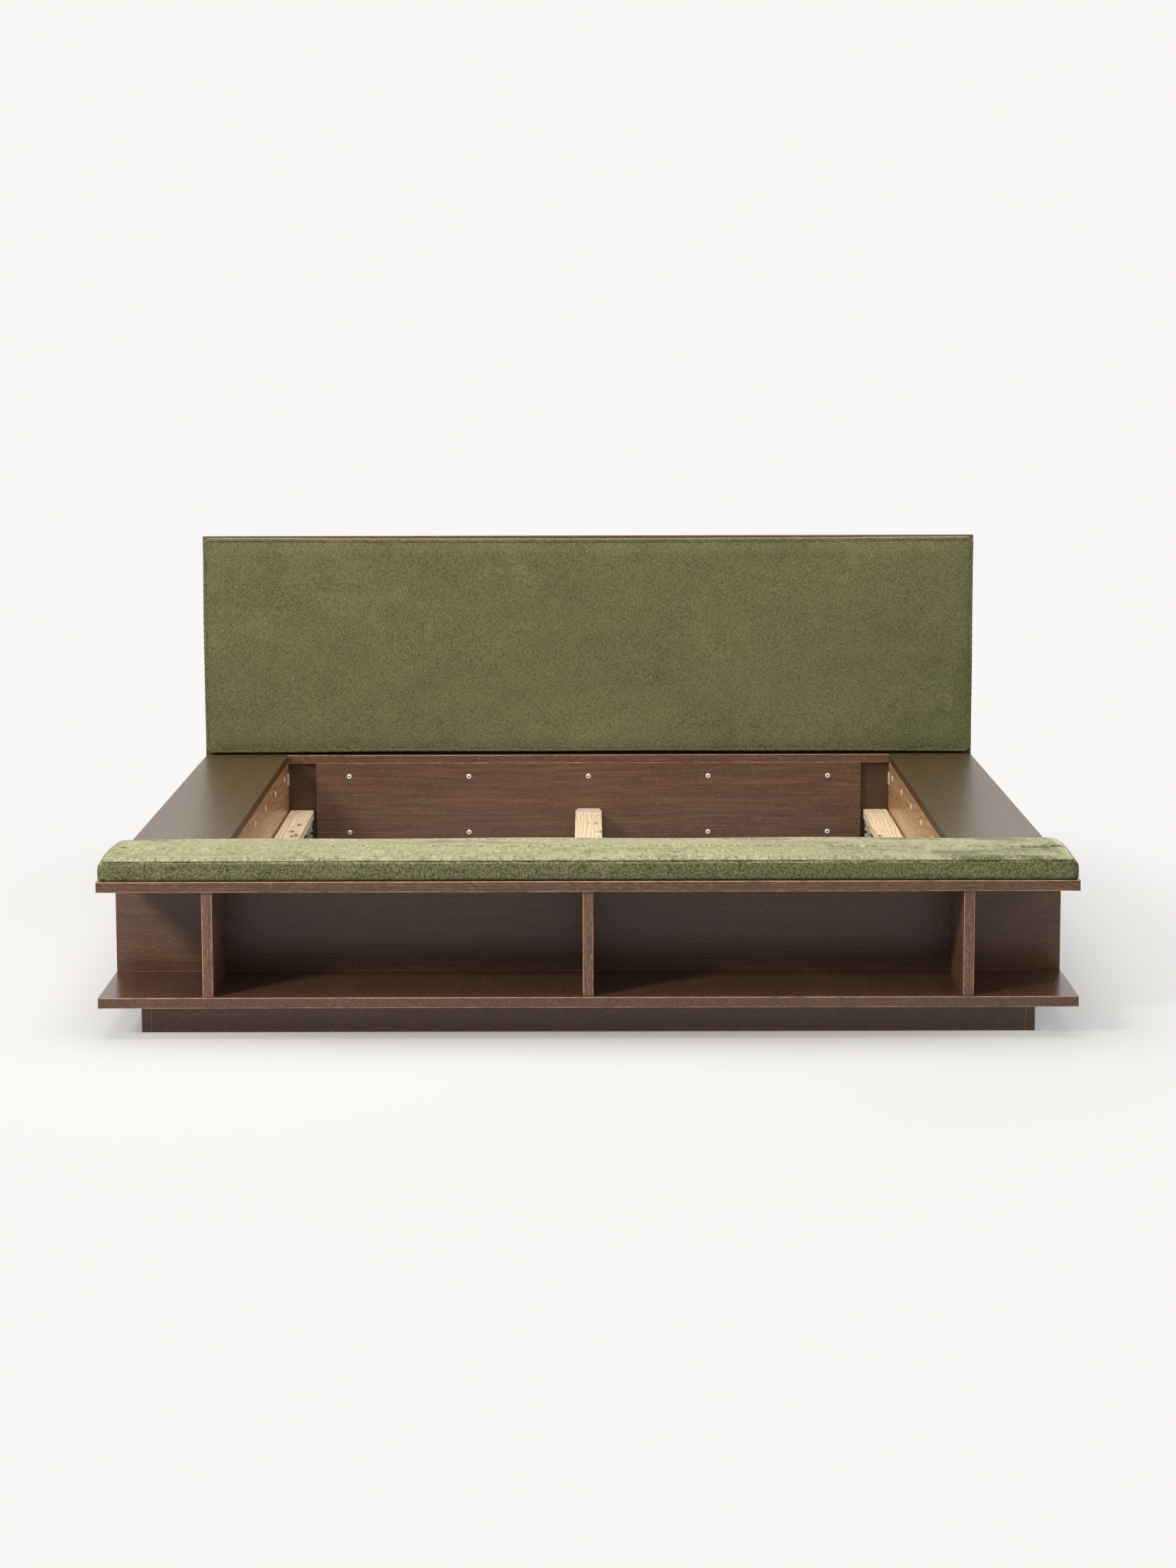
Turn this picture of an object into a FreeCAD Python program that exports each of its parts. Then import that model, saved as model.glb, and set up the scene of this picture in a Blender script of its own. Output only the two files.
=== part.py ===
import FreeCAD, Part
import math
import os
import re

# Low platform bed for one mattress, in millimetres, +Z up, the foot of the bed towards -Y.
# The origin is the middle of the bounding box at floor level.
# Layout, from the foot: an open shelf bench with a cushion, the mattress well between two
# wide side borders on hollow boxes, and an upholstered headboard bolted on from inside.

# Driving sizes, one cell each
SIZES = {
    "board": 25.0,
    "eased_edge": 1.2,
    "frame_width": 2300.0,
    "border_width": 245.0,
    "well_length": 2020.0,
    "shelf_depth": 340.0,
    "plinth_height": 75.0,
    "plinth_inset": 90.0,
    "divider_height": 250.0,
    "divider_set_back": 10.0,
    "rear_base_depth": 150.0,
    "rib_count": 3,
    "headboard_overhang": 5.0,
    "headboard_top": 1030.0,
    "fixing_board_gap": 9.0,
    "bolt_from_end": 100.0,
    "bolt_columns": 5,
    "bolt_from_edge": 40.0,
    "bolt_shank": 8.0,
    "bolt_length": 64.0,
    "bolt_head": 15.0,
    "bolt_head_front": 11.0,
    "bolt_head_thickness": 3.2,
    "bolt_hole_depth": 16.0,
    "bolt_socket_radius": 2.9,
    "bolt_socket_depth": 2.2,
    "bolt_play": 0.3,
    "cushion_seat_gap": 0.3,
    "cushion_bulge": 3.0,
    "cushion_draw_in": 3.0,
    "bench_cushion_end_margin": 5.0,
    "bench_cushion_edge_margin": 6.5,
    "bench_cushion_side": 45.0,
    "bench_cushion_crown": 13.0,
    "bench_cushion_end": 22.0,
    "head_cushion_margin": 6.0,
    "head_cushion_below_top": 3.0,
    "head_cushion_lift": 5.0,
    "head_cushion_side": 35.0,
    "head_cushion_crown": 8.0,
    "head_cushion_end": 18.0,
    "batten_width": 72.0,
    "batten_thickness": 28.0,
    "batten_side_gap": 4.0,
    "batten_end_play": 1.0,
    "beam_width": 79.0,
    "beam_depth": 45.0,
    "beam_top_height": 100.0,
    "beam_end_play": 1.5,
    "seat_gap": 0.3,
    "timber_ease": 2.0,
    "leg_side": 60.0,
    "leg_pad": 4.0,
    "leg_pad_margin": 3.0,
    "sheet_steel": 2.5,
    "comb_width": 20.0,
    "comb_base_gap": 2.85,
    "comb_offset": 5.0,
    "comb_pitch": 19.3,
    "comb_notches": 5,
    "comb_notch": 6.5,
    "comb_notch_depth": 9.0,
    "comb_lobe_round": 5.2,
    "comb_end": 9.0,
    "comb_end_round": 3.0,
    "pin_play": 0.25,
    "pin_drop": 23.3,
    "pin_tip_gap": 0.3,
    "shoe_width": 58.0,
    "shoe_length": 50.0,
    "shoe_lip_width": 24.0,
    "shoe_pin_margin": 4.2,
    "hanger_rise": 12.0,
    "hanger_drop": 50.0,
    "hanger_seat": 40.0,
    "hanger_corner": 8.0,
    "clip_length": 60.0,
    "clip_reach": 56.0,
    "clip_drop": 40.0,
    "corner_plate_height": 36.0,
    "corner_plate_length": 30.0,
    "corner_plate_below": 32.0,
    "plate_round": 3.0,
    "cam_cover": 17.0,
    "cam_cover_front": 15.0,
    "cam_cover_thickness": 1.5,
    "cam_below_edge": 35.0,
    "cam_from_foot": 75.0,
    "cam_from_head": 140.0,
    "cam_count": 7,
    "cut_overrun": 1.0,
}

# Stations that follow from the driving sizes
STATIONS = {
    "half_frame": "frame_width / 2",
    "well_width": "frame_width - 2 * border_width",
    "half_well": "well_width / 2",
    "headboard_width": "frame_width + 2 * headboard_overhang",
    "y_front": "0 - (shelf_depth + well_length + 4 * board) / 2",
    "y_foot_panel": "y_front + shelf_depth",
    "y_well_foot": "y_foot_panel + board",
    "y_well_head": "y_well_foot + well_length",
    "y_head_panel": "y_well_head + board",
    "y_headboard": "y_head_panel + board",
    "side_length": "y_head_panel - y_well_foot",
    "z_base_top": "plinth_height + board",
    "z_deck": "z_base_top + divider_height",
    "z_deck_top": "z_deck + board",
    "half_plinth": "half_frame - plinth_inset",
    "y_plinth_front": "y_front + plinth_inset",
    "y_plinth_rear": "y_headboard - plinth_inset",
    "rib_spacing": "side_length / (rib_count + 1)",
    "bench_cushion_width": "frame_width - 2 * bench_cushion_end_margin",
    "bench_cushion_depth": "shelf_depth + board - 2 * bench_cushion_edge_margin",
    "head_cushion_width": "headboard_width - 2 * head_cushion_margin",
    "notch_centre": "comb_notch_depth - comb_notch / 2",
    "comb_bottom": "z_base_top + comb_base_gap",
    "comb_height": "2 * comb_end + comb_notch + (comb_notches - 1) * comb_pitch",
    "pin_notch": "floor((comb_notches - 1) / 2)",
    "pin_height": "comb_bottom + comb_end + comb_notch / 2 + pin_notch * comb_pitch",
    "batten_bottom": "pin_height + pin_drop",
    "batten_inner": "half_well - batten_side_gap - batten_width",
    "batten_end_gap": "sheet_steel + batten_end_play",
    "comb_inner": "batten_inner + comb_offset",
    "shoe_inner": "comb_inner + notch_centre - comb_notch / 2",
    "shoe_lip_drop": "pin_drop + shoe_pin_margin",
    "fixing_board_width": "2 * (batten_inner - fixing_board_gap)",
    "bolt_half_span": "fixing_board_width / 2 - bolt_from_end",
    "bolt_across": "2 * bolt_half_span / (bolt_columns - 1)",
    "bolt_rows_apart": "divider_height - 2 * bolt_from_edge",
    "bolt_middle": "z_base_top + divider_height / 2",
    "beam_top": "z_base_top + beam_top_height",
    "beam_bottom": "beam_top - beam_depth",
    "hanger_bottom": "beam_bottom - hanger_drop",
    "plate_bottom": "z_deck - corner_plate_below - corner_plate_height",
    "cam_height": "z_deck - cam_below_edge",
    "cam_pitch": "(side_length - cam_from_foot - cam_from_head) / (cam_count - 1)",
}

QUARTER_TURN = 90
SIDES = ("left", "right")
AXES = {
    "X": FreeCAD.Vector(1, 0, 0),
    "Y": FreeCAD.Vector(0, 1, 0),
    "Z": FreeCAD.Vector(0, 0, 1),
}
ROD_TURNS = {
    "X": FreeCAD.Rotation(AXES["Y"], QUARTER_TURN),
    "Y": FreeCAD.Rotation(AXES["X"], -QUARTER_TURN),
    "Z": FreeCAD.Rotation(),
}
NEAR = 1e-4

doc = FreeCAD.newDocument("bed")
sheet = doc.addObject("Spreadsheet::Sheet", "dims")
nodes = []


def fill_sheet():
    """Writes each driving size as a plain number and each station as a formula."""
    for row, (alias, size) in enumerate(SIZES.items(), start=1):
        sheet.set(f"A{row}", alias)
        sheet.set(f"B{row}", str(size))
        sheet.setAlias(f"B{row}", alias)
    doc.recompute()
    for row, (alias, formula) in enumerate(STATIONS.items(), start=1):
        sheet.set(f"D{row}", alias)
        sheet.set(f"E{row}", "=" + formula)
        sheet.setAlias(f"E{row}", alias)
        doc.recompute()


def linked(formula):
    """Gives a formula in which each cell's name reads the sheet."""
    def cell(word):
        name = word.group(0)
        return f"dims.{name}" if name in SIZES or name in STATIONS else name
    return re.sub(r"[a-z_][a-z_0-9]*", cell, formula)


def value(formula):
    """Gives the number that a formula comes to."""
    return float(sheet.evalExpression(linked(formula)))


def bind(thing, **formulas):
    """Binds properties of a feature to formulas."""
    for name, formula in formulas.items():
        thing.setExpression(name, linked(formula))


def place(thing, at, along="Z"):
    """Turns a feature so that its own Z runs along an axis, and binds where it stands."""
    thing.Placement = FreeCAD.Placement(FreeCAD.Vector(), ROD_TURNS[along])
    for axis, formula in zip("xyz", at):
        thing.setExpression(f"Placement.Base.{axis}", linked(formula))


def new_body(name, at=("0", "0", "0")):
    """Makes the body of one node."""
    body = doc.addObject("PartDesign::Body", name)
    body.Label = name
    place(body, at)
    nodes.append(body)
    return body


def grow(body, kind, name, at, along, cut, **formulas):
    """Adds a primitive to a body, or cuts it out, and makes sure that it did so."""
    before = body.Shape.Volume if body.Tip else 0
    step = body.newObject(f"PartDesign::{'Subtractive' if cut else 'Additive'}{kind}", name)
    bind(step, **formulas)
    place(step, at, along)
    body.Tip = step
    doc.recompute()
    change = body.Shape.Volume - before
    if (change >= 0) if cut else (change <= 0):
        raise RuntimeError(f"{body.Label}: {name} changes nothing")
    return step


def block(body, name, size, at=("0", "0", "0"), cut=False):
    """Adds or cuts a block of a given width, depth and height."""
    width, depth, height = size
    return grow(body, "Box", name, at, "Z", cut, Length=width, Width=depth, Height=height)


def rod(body, name, radius, length, at, along="Z", cut=False):
    """Adds or cuts a round bar that starts at a point and runs along an axis."""
    return grow(body, "Cylinder", name, at, along, cut, Radius=radius, Height=length)


def in_steps(start, pitch, count):
    """Gives the formulas of equal steps that begin at a start."""
    return [f"{start} + {index} * {pitch}" for index in range(int(value(count)))]


def repeat(body, step, axis, span, count):
    """Repeats the one step of a body along one of its axes."""
    pattern = body.newObject("PartDesign::LinearPattern", "Repeat")
    pattern.Originals = [step]
    line = next(part for part in body.Origin.OriginFeatures if part.Role == f"{axis}_Axis")
    pattern.Direction = (line, [""])
    bind(pattern, Length=span, Occurrences=count)
    body.Tip = pattern
    doc.recompute()


def edges_along(shape, axis, wanted=None):
    """Names the straight edges that run along an axis, and that pass a test of their middle."""
    names = []
    for number, edge in enumerate(shape.Edges, start=1):
        if not isinstance(edge.Curve, (Part.Line, Part.LineSegment)):
            continue
        run = edge.Vertexes[-1].Point - edge.Vertexes[0].Point
        if abs(abs(run.normalize().dot(AXES[axis])) - 1) > NEAR:
            continue
        if wanted is None or wanted(edge.CenterOfMass):
            names.append(f"Edge{number}")
    return names


def soften(body, kind, size, edge_names):
    """Chamfers or fillets named edges of a body's last step."""
    last = body.Tip
    step = body.newObject(f"PartDesign::{kind}", kind)
    step.Base = (last, edge_names)
    bind(step, **{"Size" if kind == "Chamfer" else "Radius": size})
    body.Tip = step
    doc.recompute()


def ease(body, axis, size="eased_edge"):
    """Breaks the sharp edges of a body that run along an axis."""
    soften(body, "Chamfer", size, edges_along(body.Tip.Shape, axis))


def at_side(side, inner, outer):
    """Gives the low X of a piece that lies between two distances from the middle."""
    return inner if side == "right" else f"0 - ({outer})"


def middle_x(side, distance):
    """Gives the X of a centre line at a distance from the middle."""
    return distance if side == "right" else f"0 - ({distance})"


def make_board(name, size, at, run=None):
    """Makes a board, with the edges along its grain eased where they are in view."""
    body = new_body(name, at)
    block(body, "Board", size)
    if run:
        ease(body, run)
    return body


def bolt_spots(middle, low):
    """Gives the X and Z of the headboard bolts, without one where the beam's hanger stands."""
    across = in_steps(f"{middle} - bolt_half_span", "bolt_across", "bolt_columns")
    beside_hanger = [x for index, x in enumerate(across) if 2 * index != len(across) - 1]
    upper = [(x, f"bolt_middle + bolt_rows_apart / 2 - {low}") for x in across]
    return upper + [(x, f"bolt_middle - bolt_rows_apart / 2 - {low}") for x in beside_hanger]


def drill_bolt_rows(body, low, radius, depth, middle):
    """Drills both rows of bolt holes into a board that stands across the bed."""
    for x, height in bolt_spots(middle, low):
        rod(body, "BoltHole", radius, depth, (x, "0", height), "Y", True)


def make_plinth():
    """Makes the set-back frame that the bed stands on, with a runner under each inner wall."""
    length = "y_plinth_rear - y_plinth_front"
    for side in SIDES:
        x = at_side(side, "half_plinth - board", "half_plinth")
        at = (x, "y_plinth_front", "0")
        make_board(f"plinth_{side}", ("board", length, "plinth_height"), at, "Z")
        x = at_side(side, "half_well", "half_well + board")
        at = (x, "y_plinth_front + board", "0")
        size = ("board", f"{length} - 2 * board", "plinth_height")
        make_board(f"plinth_{side}_runner", size, at)
    size = ("2 * (half_plinth - board)", "board", "plinth_height")
    for name, y in (("front", "y_plinth_front"), ("rear", "y_plinth_rear - board")):
        make_board(f"plinth_{name}", size, ("board - half_plinth", y, "0"))
    size = ("well_width", "board", "plinth_height")
    make_board("plinth_cross_rail", size, ("0 - half_well", "y_foot_panel", "0"))


def make_bench():
    """Makes the open shelf at the foot: two decks, the back wall and three dividers."""
    deck = ("frame_width", "shelf_depth + board", "board")
    make_board("lower_shelf_board", deck, ("0 - half_frame", "y_front", "plinth_height"), "X")
    make_board("bench_top_board", deck, ("0 - half_frame", "y_front", "z_deck"), "X")
    make_board("foot_panel", ("frame_width", "board", "divider_height"),
               ("0 - half_frame", "y_foot_panel", "z_base_top"))
    depth = "shelf_depth - divider_set_back"
    size = ("board", depth, "divider_height")
    places = {
        "left_divider": "0 - half_well",
        "centre_divider": "0 - board / 2",
        "right_divider": "half_well - board",
    }
    for name, x in places.items():
        make_board(name, size, (x, "y_front + divider_set_back", "z_base_top"), "Z")


def make_side_boxes():
    """Makes the hollow boxes beside the mattress that carry the wide borders."""
    for side in SIDES:
        box = "half_frame - half_well"
        x = at_side(side, "half_well", "half_frame")
        full = "y_headboard - y_well_foot"
        make_board(f"{side}_bottom_board", (box, full, "board"),
                   (x, "y_well_foot", "plinth_height"))
        make_board(f"{side}_border_board", (box, full, "board"),
                   (x, "y_well_foot", "z_deck"), "Y")
        wall = ("board", "side_length", "divider_height")
        make_board(f"{side}_inner_panel", wall,
                   (at_side(side, "half_well", "half_well + board"),
                    "y_well_foot", "z_base_top"))
        make_board(f"{side}_outer_panel", wall,
                   (at_side(side, "half_frame - board", "half_frame"),
                    "y_well_foot", "z_base_top"))
        make_ribs(side)


def make_ribs(side):
    """Makes the cross ribs inside one side box."""
    width = "half_frame - half_well - 2 * board"
    x = at_side(side, "half_well + board", "half_frame - board")
    body = new_body(f"{side}_box_ribs", (x, "y_well_foot + rib_spacing - board / 2", "z_base_top"))
    rib = block(body, "Rib", (width, "board", "divider_height"))
    repeat(body, rib, "Y", "rib_spacing * (rib_count - 1)", "rib_count")


def make_head_end():
    """Makes the boards across the head end and the tall headboard behind them."""
    make_board("rear_bottom_board", ("well_width", "rear_base_depth", "board"),
               ("0 - half_well", "y_headboard - rear_base_depth", "plinth_height"))
    make_board("rear_border_board", ("well_width", "2 * board", "board"),
               ("0 - half_well", "y_well_head", "z_deck"), "X")
    panel = make_board("head_panel", ("frame_width", "board", "divider_height"),
                       ("0 - half_frame", "y_head_panel", "z_base_top"))
    hole = "bolt_shank / 2 + bolt_play"
    drill_bolt_rows(panel, "z_base_top", hole, "board", "half_frame")
    fixing = make_board("headboard_fixing_board",
                        ("fixing_board_width", "board", "divider_height"),
                        ("0 - fixing_board_width / 2", "y_well_head", "z_base_top"), "Z")
    drill_bolt_rows(fixing, "z_base_top", hole, "board", "fixing_board_width / 2")
    tall = make_board("headboard_board",
                      ("headboard_width", "board", "headboard_top - plinth_height"),
                      ("0 - headboard_width / 2", "y_headboard", "plinth_height"), "X")
    drill_bolt_rows(tall, "plinth_height", hole, "bolt_hole_depth", "headboard_width / 2")


def make_headboard_bolts():
    """Makes the two rows of socket-head bolts that hold the headboard from inside."""
    body = new_body("headboard_bolts")
    head_front = "y_well_head - bolt_head_thickness"
    for x, z in bolt_spots("0", "0"):
        rod(body, "Shank", "bolt_shank / 2", "bolt_length", (x, "y_well_head", z), "Y")
        grow(body, "Cone", "Head", (x, head_front, z), "Y", False, Radius1="bolt_head_front / 2",
             Radius2="bolt_head / 2", Height="bolt_head_thickness")
        grow(body, "Prism", "Socket", (x, head_front, z), "Y", True,
             Circumradius="bolt_socket_radius", Height="bolt_socket_depth")


def make_cam_covers():
    """Makes the round covers over the cam locks in each inner panel."""
    for side in SIDES:
        body = new_body(f"{side}_cam_covers")
        faces = ("cam_cover_front / 2", "cam_cover / 2")
        low, high = faces if side == "right" else reversed(faces)
        x = at_side(side, "half_well - cam_cover_thickness", "half_well")
        for y in in_steps("y_well_foot + cam_from_foot", "cam_pitch", "cam_count"):
            grow(body, "Cone", "Cover", (x, y, "cam_height"), "X", False,
                 Radius1=low, Radius2=high, Height="cam_cover_thickness")


def make_battens():
    """Makes the two side battens that carry the edges of the slatted base."""
    length = "side_length - 2 * batten_end_gap"
    for side in SIDES:
        x = at_side(side, "batten_inner", "batten_inner + batten_width")
        body = new_body(f"{side}_batten", (x, "y_well_foot + batten_end_gap", "batten_bottom"))
        block(body, "Timber", ("batten_width", length, "batten_thickness"))
        ease(body, "Y", "timber_ease")


def make_comb(side, end):
    """Makes one notched steel plate, whose notches open towards the middle of the bed."""
    x = at_side(side, "comb_inner", "comb_inner + comb_width")
    y = "y_head_panel - sheet_steel" if end == "head" else "y_well_foot"
    body = new_body(f"{side}_{end}_comb", (x, y, "comb_bottom"))
    block(body, "Plate", ("comb_width", "sheet_steel", "comb_height"))
    if side == "right":
        slot_x = "0 - cut_overrun"
        end_x = "notch_centre"
        mouth = 0
    else:
        slot_x = "comb_width - notch_centre"
        end_x = slot_x
        mouth = value("comb_width")
    depth = "sheet_steel + 2 * cut_overrun"
    for z in in_steps("comb_end", "comb_pitch", "comb_notches"):
        block(body, "Slot", ("notch_centre + cut_overrun", depth, "comb_notch"),
              (slot_x, "0 - cut_overrun", z), True)
        rod(body, "SlotEnd", "comb_notch / 2", depth,
            (end_x, "0 - cut_overrun", f"{z} + comb_notch / 2"), "Y", True)
    ends = (0, value("comb_height"))
    soften(body, "Fillet", "comb_lobe_round", edges_along(
        body.Tip.Shape, "Y",
        lambda spot: abs(spot.x - mouth) < NEAR and ends[0] + NEAR < spot.z < ends[1] - NEAR))
    soften(body, "Fillet", "comb_end_round", edges_along(
        body.Tip.Shape, "Y", lambda spot: any(abs(spot.z - height) < NEAR for height in ends)))


def make_shoes(side):
    """Makes the angle shoes under a batten's two ends, each with a pin in a notch."""
    body = new_body(f"{side}_batten_shoes")
    x = at_side(side, "shoe_inner", "shoe_inner + shoe_width")
    lip_x = at_side(side, "shoe_inner", "shoe_inner + shoe_lip_width")
    leaf_z = "batten_bottom - sheet_steel"
    lip_z = "batten_bottom - shoe_lip_drop"
    pin_x = middle_x(side, "comb_inner + notch_centre")
    pin_length = "sheet_steel + batten_end_gap - pin_tip_gap"
    for end in ("foot", "head"):
        if end == "foot":
            start = "y_well_foot + batten_end_gap"
            lip_y = start
            pin_y = "y_well_foot + pin_tip_gap"
        else:
            start = "y_head_panel - batten_end_gap - shoe_length"
            lip_y = "y_head_panel - batten_end_gap - sheet_steel"
            pin_y = lip_y
        block(body, "Leaf", ("shoe_width", "shoe_length", "sheet_steel"), (x, start, leaf_z))
        block(body, "Lip", ("shoe_lip_width", "sheet_steel", "shoe_lip_drop"), (lip_x, lip_y, lip_z))
        rod(body, "Pin", "comb_notch / 2 - pin_play", pin_length, (pin_x, pin_y, "pin_height"), "Y")
    low = value(lip_z)
    soften(body, "Fillet", "plate_round",
           edges_along(body.Tip.Shape, "Y", lambda spot: abs(spot.z - low) < NEAR))


def make_clip(side):
    """Makes the angle clip that holds a batten up at half its length."""
    leaf_x = at_side(side, "half_well - clip_reach", "half_well")
    wall_x = at_side(side, "half_well - sheet_steel", "half_well")
    y = "y_well_foot + side_length / 2 - clip_length / 2"
    body = new_body(f"{side}_batten_clip")
    block(body, "Leaf", ("clip_reach", "clip_length", "sheet_steel"),
          (leaf_x, y, "batten_bottom - sheet_steel"))
    block(body, "Wall", ("sheet_steel", "clip_length", "clip_drop"),
          (wall_x, y, "batten_bottom - clip_drop"))
    low = value("batten_bottom - clip_drop")
    soften(body, "Fillet", "plate_round",
           edges_along(body.Tip.Shape, "X", lambda spot: abs(spot.z - low) < NEAR))


def make_corner_plate(side):
    """Makes the small plate at the head end of an inner panel."""
    x = at_side(side, "half_well - sheet_steel", "half_well")
    at = (x, "y_head_panel - corner_plate_length", "plate_bottom")
    body = new_body(f"{side}_corner_plate", at)
    block(body, "Plate", ("sheet_steel", "corner_plate_length", "corner_plate_height"))
    soften(body, "Fillet", "plate_round", edges_along(body.Tip.Shape, "X"))


def make_beam():
    """Makes the centre beam, its two hangers and its leg with a felt pad."""
    clearance = "sheet_steel + beam_end_play"
    body = new_body("centre_beam", ("0 - beam_width / 2", f"y_well_foot + {clearance}", "beam_bottom"))
    block(body, "Timber", ("beam_width", f"well_length - 2 * ({clearance})", "beam_depth"))
    ease(body, "Y", "timber_ease")
    middle = "y_well_foot + well_length / 2"
    leg = new_body("centre_leg", ("0 - leg_side / 2", f"{middle} - leg_side / 2", "leg_pad"))
    block(leg, "Timber", ("leg_side", "leg_side", "beam_bottom - leg_pad"))
    ease(leg, "Z", "timber_ease")
    margin = "leg_side / 2 - leg_pad_margin"
    pad = new_body("centre_leg_pad", (f"0 - ({margin})", f"{middle} - ({margin})", "0"))
    block(pad, "Felt", (f"2 * ({margin})", f"2 * ({margin})", "leg_pad"))
    for end in ("foot", "head"):
        make_hanger(end)


def make_hanger(end):
    """Makes the steel bracket that one end of the centre beam drops into."""
    wall_y = "y_well_foot" if end == "foot" else "y_well_head - sheet_steel"
    seat_y = "y_well_foot" if end == "foot" else "y_well_head - hanger_seat"
    x = "0 - beam_width / 2"
    height = "hanger_drop + beam_depth + hanger_rise"
    body = new_body(f"beam_hanger_{end}")
    block(body, "Wall", ("beam_width", "sheet_steel", height), (x, wall_y, "hanger_bottom"))
    block(body, "Seat", ("beam_width", "hanger_seat", "sheet_steel"),
          (x, seat_y, "beam_bottom - seat_gap - sheet_steel"))
    top = value("beam_top + hanger_rise")
    low = value("hanger_bottom")
    soften(body, "Chamfer", "hanger_corner",
           edges_along(body.Tip.Shape, "Y", lambda spot: abs(spot.z - top) < NEAR))
    soften(body, "Fillet", "plate_round",
           edges_along(body.Tip.Shape, "Y", lambda spot: abs(spot.z - low) < NEAR))


def cushion_section(station, low, high, crown, half, bulge):
    """Gives one cross section of a cushion: flat back, bowed sides and a crowned face."""
    spots = [
        FreeCAD.Vector(station, -half, low),
        FreeCAD.Vector(station, half, low),
        FreeCAD.Vector(station, half + bulge, (low + high) / 2),
        FreeCAD.Vector(station, half, high),
        FreeCAD.Vector(station, 0, high + crown),
        FreeCAD.Vector(station, -half, high),
        FreeCAD.Vector(station, -half - bulge, (low + high) / 2),
    ]
    edges = [
        Part.LineSegment(spots[0], spots[1]).toShape(),
        Part.Arc(spots[1], spots[2], spots[3]).toShape(),
        Part.Arc(spots[3], spots[4], spots[5]).toShape(),
        Part.Arc(spots[5], spots[6], spots[0]).toShape(),
    ]
    return Part.Wire(edges)


END_SHARES = (0.0, 0.12, 0.35, 0.65, 1.0)
MIDDLE_SHARES = (0.45, 0.75)
END_CAP_SHARE = 0.4
CROWN_LEFT_SHARE = 0.55


def cushion_shape(width, depth, side, crown, end):
    """Gives a boxed cushion along X whose sides draw in between its corners."""
    bulge = value("cushion_bulge")
    draw_in = value("cushion_draw_in")
    half_width = width / 2
    half_depth = depth / 2 - bulge
    stations = [end * share for share in END_SHARES]
    stations += [half_width * share for share in MIDDLE_SHARES] + [half_width]
    sections = []
    for distance in stations:
        left = max(0, 1 - distance / end)
        fullness = END_CAP_SHARE + (1 - END_CAP_SHARE) * math.sqrt(1 - left ** 2)
        out = 1 - distance / half_width
        loss = side * (1 - fullness) / 2
        pull = draw_in * (1 - out ** 2)
        corner = end * (1 - fullness)
        local_crown = crown * fullness * (1 - CROWN_LEFT_SHARE * out ** 4)
        sections.append((distance - half_width, loss, side - loss, local_crown,
                         half_depth - pull - corner, bulge * fullness))
    mirrored = [(-section[0],) + section[1:] for section in sections[-2::-1]]
    wires = [cushion_section(*section) for section in sections + mirrored]
    return Part.makeLoft(wires, True, True)


def make_soft_solid(name, shape, centre, turn=None):
    """Makes the node of a cushion from its shape, and sets it in its place."""
    thing = doc.addObject("Part::Feature", name)
    thing.Label = name
    thing.Shape = shape
    spot = FreeCAD.Vector(*[value(formula) for formula in centre])
    thing.Placement = FreeCAD.Placement(spot, turn or FreeCAD.Rotation())
    nodes.append(thing)


def make_cushions():
    """Makes the bench cushion and the upholstered panel of the headboard."""
    bench = cushion_shape(*[value(f"bench_cushion_{name}")
                            for name in ("width", "depth", "side", "crown", "end")])
    make_soft_solid("bench_cushion", bench,
                    ("0", "y_front + (shelf_depth + board) / 2", "z_deck_top + cushion_seat_gap"))
    low = "z_deck_top + head_cushion_lift"
    high = "headboard_top - head_cushion_below_top"
    panel = cushion_shape(value("head_cushion_width"), value(f"{high} - ({low})"),
                          value("head_cushion_side"), value("head_cushion_crown"),
                          value("head_cushion_end"))
    upright = FreeCAD.Rotation(AXES["X"], QUARTER_TURN)
    make_soft_solid("headboard_cushion", panel,
                    ("0", "y_headboard", f"({high} + {low}) / 2"), upright)


def check_and_write():
    """Checks every object of the document, then writes one file for each node."""
    doc.recompute()
    for thing in doc.Objects:
        if "Invalid" in thing.State or "Error" in thing.State:
            raise RuntimeError(f"{thing.Label}: {thing.State}")
    os.makedirs("parts", exist_ok=True)
    for node in nodes:
        shape = node.Shape
        if shape.isNull() or not shape.isValid():
            raise RuntimeError(f"{node.Label}: no valid shape")
        shape.exportStep(f"parts/{node.Label}.step")
        print(f"{node.Label}: {len(shape.Solids)} solid(s), {shape.Volume:.0f} mm3")


fill_sheet()
make_plinth()
make_bench()
make_side_boxes()
make_head_end()
make_headboard_bolts()
make_cam_covers()
make_battens()
for side_name in SIDES:
    for end_name in ("foot", "head"):
        make_comb(side_name, end_name)
    make_shoes(side_name)
    make_clip(side_name)
    make_corner_plate(side_name)
make_beam()
make_cushions()
check_and_write()
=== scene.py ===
"""Looks of the bed: veneers, upholstery, hardware finishes, studio and camera.

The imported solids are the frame. The two cushions are made again here as sewn, stuffed
pieces, one of them with a welt, and the wood screws of the plates are new. Every other
node keeps its shape and gets its finish.
"""

import logging
import math
from collections.abc import Callable
from dataclasses import dataclass, field
from enum import Enum

import bmesh
import bpy
import numpy as np
from mathutils import Matrix, Vector


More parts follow.
